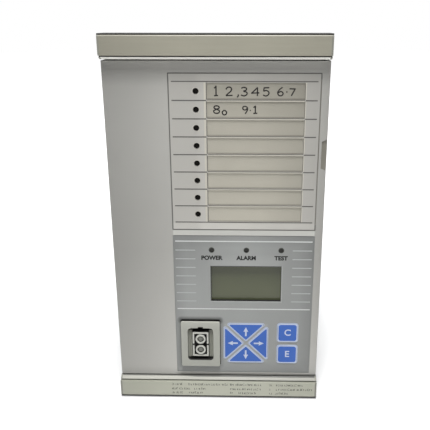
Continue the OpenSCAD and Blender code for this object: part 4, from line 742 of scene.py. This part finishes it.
# Ribbed rails that guide a cable plug into the port, as an outline in X from its middle and Y
RIB = [(6.2, -12.6), (6.2, -18.6), (6.8, -19.3), (7.4, -18.8), (8.0, -19.5), (8.6, -19.0),
       (9.1, -19.7), (9.5, -19.4), (9.5, -12.6)]
RAIL_HALF = 11.2
for name, side in (("left", -1), ("right", 1)):
    n = len(RIB)
    verts = [(PORT_X + side * x, y, z) for z in (BODY_Z - RAIL_HALF, BODY_Z + RAIL_HALF)
             for x, y in RIB]
    faces = [[i, (i + 1) % n, n + (i + 1) % n, n + i] for i in range(n)]
    faces += [list(range(n))[::-1], list(range(n, 2 * n))]
    if side > 0:
        faces = [f[::-1] for f in faces]
    piece("port_rail_" + name, verts, faces, "case", "rail")

# Rating print on the lower bar, as rows of marks too small to read. Each row has its height and
# the stretches of X that it fills.
RATING = (
    (-121.75, ((-35.3, -27.2), (-22.6, 7.6), (9.0, 33.0), (38.7, 40.9), (43.8, 65.3))),
    (-125.6, ((-35.3, -21.3), (-18.4, -8.9), (9.0, 33.0), (38.7, 40.4), (43.8, 71.2))),
    (-129.1, ((-35.2, -26.4), (-22.4, -10.4), (9.0, 12.0), (15.4, 29.4), (38.7, 40.9),
              (43.4, 53.4))),
)
GLYPHS = ("l", "l-", "l_", "l=", "=", "l|", "-|", "_|")
MARK_W, MARK_STEM, MARK_BAR, MARK_DROP = 0.85, 0.34, 0.3, 0.85
MARK_HEIGHTS, MARK_SPACES = (1.3, 1.3, 1.75), (0.3, 0.3, 0.35, 0.9)
MARK_ROOM = 0.8  # what a stretch needs for one more mark
rng = random.Random(5)
marks = Sheet(BAR_FACE)
for z, stretches in RATING:
    for x, end in stretches:
        while x < end - MARK_ROOM:
            foot = z - MARK_DROP
            head = foot + rng.choice(MARK_HEIGHTS)
            kind = rng.choice(GLYPHS)
            if "l" in kind:
                marks.rect(x, x + MARK_STEM, foot, head)
            if "|" in kind:
                marks.rect(x + MARK_W - MARK_STEM, x + MARK_W, foot, head)
            if "-" in kind or "=" in kind:
                marks.rect(x, x + MARK_W, head - MARK_BAR, head)
            if "_" in kind or "=" in kind:
                marks.rect(x, x + MARK_W, foot, foot + MARK_BAR)
            x += MARK_W + rng.choice(MARK_SPACES)
marks.done("rating_marks", "case", "ink_rating")


# Terminal numbers and earth sign on the rear plate

def numbers(name, count, x, pitch, size, weight):
    text = "\n".join(str(k) for k in range(1, count + 1))
    words(name, text, x, 0, REAR, size, "case", "ink_rear", look=1, line=pitch / size,
          weight=weight)


numbers("measuring_numbers", 18, -60.6, pitch=10, size=4.2, weight=0.03)
numbers("plug_numbers", 24, 11.4, pitch=5.08, size=2.9, weight=0.02)

EARTH_X, EARTH_Z, EARTH_LINE, EARTH_STEP = 35.0, -88.0, 0.6, 1.2
sign = Sheet(REAR, look=1)
sign.rect(EARTH_X - EARTH_LINE / 2, EARTH_X + EARTH_LINE / 2, EARTH_Z, EARTH_Z + 4)
for k, half in enumerate((3.0, 1.9, 0.8)):
    z = EARTH_Z - EARTH_STEP * k
    sign.rect(EARTH_X - half, EARTH_X + half, z - EARTH_LINE, z)
sign.done("earth_sign", "case", "ink_rear")

# Camera, as solved from the edges of the front in the photo
CAMERA_AT = Vector((21.012, -405.545, 140.019))
CAMERA_LOOK = Vector((-0.019715, 0.948891, -0.314987))
CAMERA_UP = Vector((-0.006954, 0.314910, 0.949096))
cam = bpy.data.objects.new("camera", bpy.data.cameras.new("camera"))
bpy.context.collection.objects.link(cam)
look = CAMERA_LOOK.normalized()
right = look.cross(CAMERA_UP).normalized()
turn = Matrix((right, right.cross(look), -look)).transposed().to_4x4()
cam.matrix_world = Matrix.Translation(CAMERA_AT * MM) @ turn
cam.data.lens = 49.041
cam.data.shift_x = -0.04789  # the photo is cut out of a wider one
cam.data.shift_y = 0.00176
cam.data.sensor_width = 36
cam.data.clip_start = 0.01
bpy.context.scene.camera = cam

# The floor touches the foot of the frame and the rear edge of the case
FLOOR_R, FLOOR_SIDES, FLOOR_GREY = 3.0, 64, 0.74
tilt = math.atan2(-CASE_TOP - FRAME_FOOT, REAR - FRAME_BACK)
mesh = bpy.data.meshes.new("floor")
mesh.from_pydata([(x, y, 0) for x, y in circle(0, 0, FLOOR_R, FLOOR_SIDES)], [],
                 [list(range(FLOOR_SIDES))])
floor = bpy.data.objects.new("floor", mesh)
bpy.context.collection.objects.link(floor)
foot = Matrix.Translation(Vector((0, FRAME_BACK, FRAME_FOOT)) * MM)
floor.matrix_world = foot @ Matrix.Rotation(tilt, 4, "X")


def seen(tree):
    """1 for what the camera sees, also in a mirror or through glass."""
    path = tree.nodes.new("ShaderNodeLightPath")
    total = path.outputs["Is Camera Ray"]
    for name in ("Is Glossy Ray", "Is Transmission Ray"):
        total = node_math(tree, "MAXIMUM", total, path.outputs[name])
    return total


# The floor keeps the shadow near the object and turns white further out
white = bpy.data.materials.new("floor_white")
white.use_nodes = True
tree = white.node_tree
tree.nodes.clear()
matt = tree.nodes.new("ShaderNodeBsdfDiffuse")
matt.inputs["Color"].default_value = (FLOOR_GREY, FLOOR_GREY, FLOOR_GREY, 1)
place = tree.nodes.new("ShaderNodeTexCoord")
length = tree.nodes.new("ShaderNodeVectorMath")
length.operation = "LENGTH"
tree.links.new(place.outputs["Object"], length.inputs[0])
fade = node_range(tree, length.outputs["Value"], low=0.2, high=0.9, start=0.2, end=1.2)
glow = tree.nodes.new("ShaderNodeEmission")
tree.links.new(node_math(tree, "MULTIPLY", fade, seen(tree)), glow.inputs["Strength"])
both = tree.nodes.new("ShaderNodeAddShader")
tree.links.new(matt.outputs[0], both.inputs[0])
tree.links.new(glow.outputs[0], both.inputs[1])
end = tree.nodes.new("ShaderNodeOutputMaterial")
tree.links.new(both.outputs[0], end.inputs["Surface"])
mesh.materials.append(white)

# A white background that gives little light
world = bpy.data.worlds.new("studio")
bpy.context.scene.world = world
world.use_nodes = True
tree = world.node_tree
back = tree.nodes["Background"]
back.inputs["Color"].default_value = (1, 1, 1, 1)
level = node_range(tree, seen(tree), low=0.13, high=1.0, start=0.0, end=1.0)
tree.links.new(level, back.inputs["Strength"])


def lamp(name, at, target, width, height, power):
    data = bpy.data.lights.new(name, "AREA")
    data.shape = "RECTANGLE"
    data.size = width
    data.size_y = height
    data.energy = power
    obj = bpy.data.objects.new(name, data)
    bpy.context.collection.objects.link(obj)
    obj.location = at
    obj.rotation_euler = (Vector(target) - Vector(at)).to_track_quat("-Z", "Y").to_euler()


# Places and sizes of the lights in metres
lamp("key_light", at=(0, -0.39, 1.24), target=(0, 0, 0), width=0.3, height=0.5, power=22)
lamp("rear_light", at=(0, 0.75, 1.2), target=(0, 0.1, 0), width=0.5, height=0.5, power=10)

bpy.context.scene.view_settings.view_transform = "Standard"
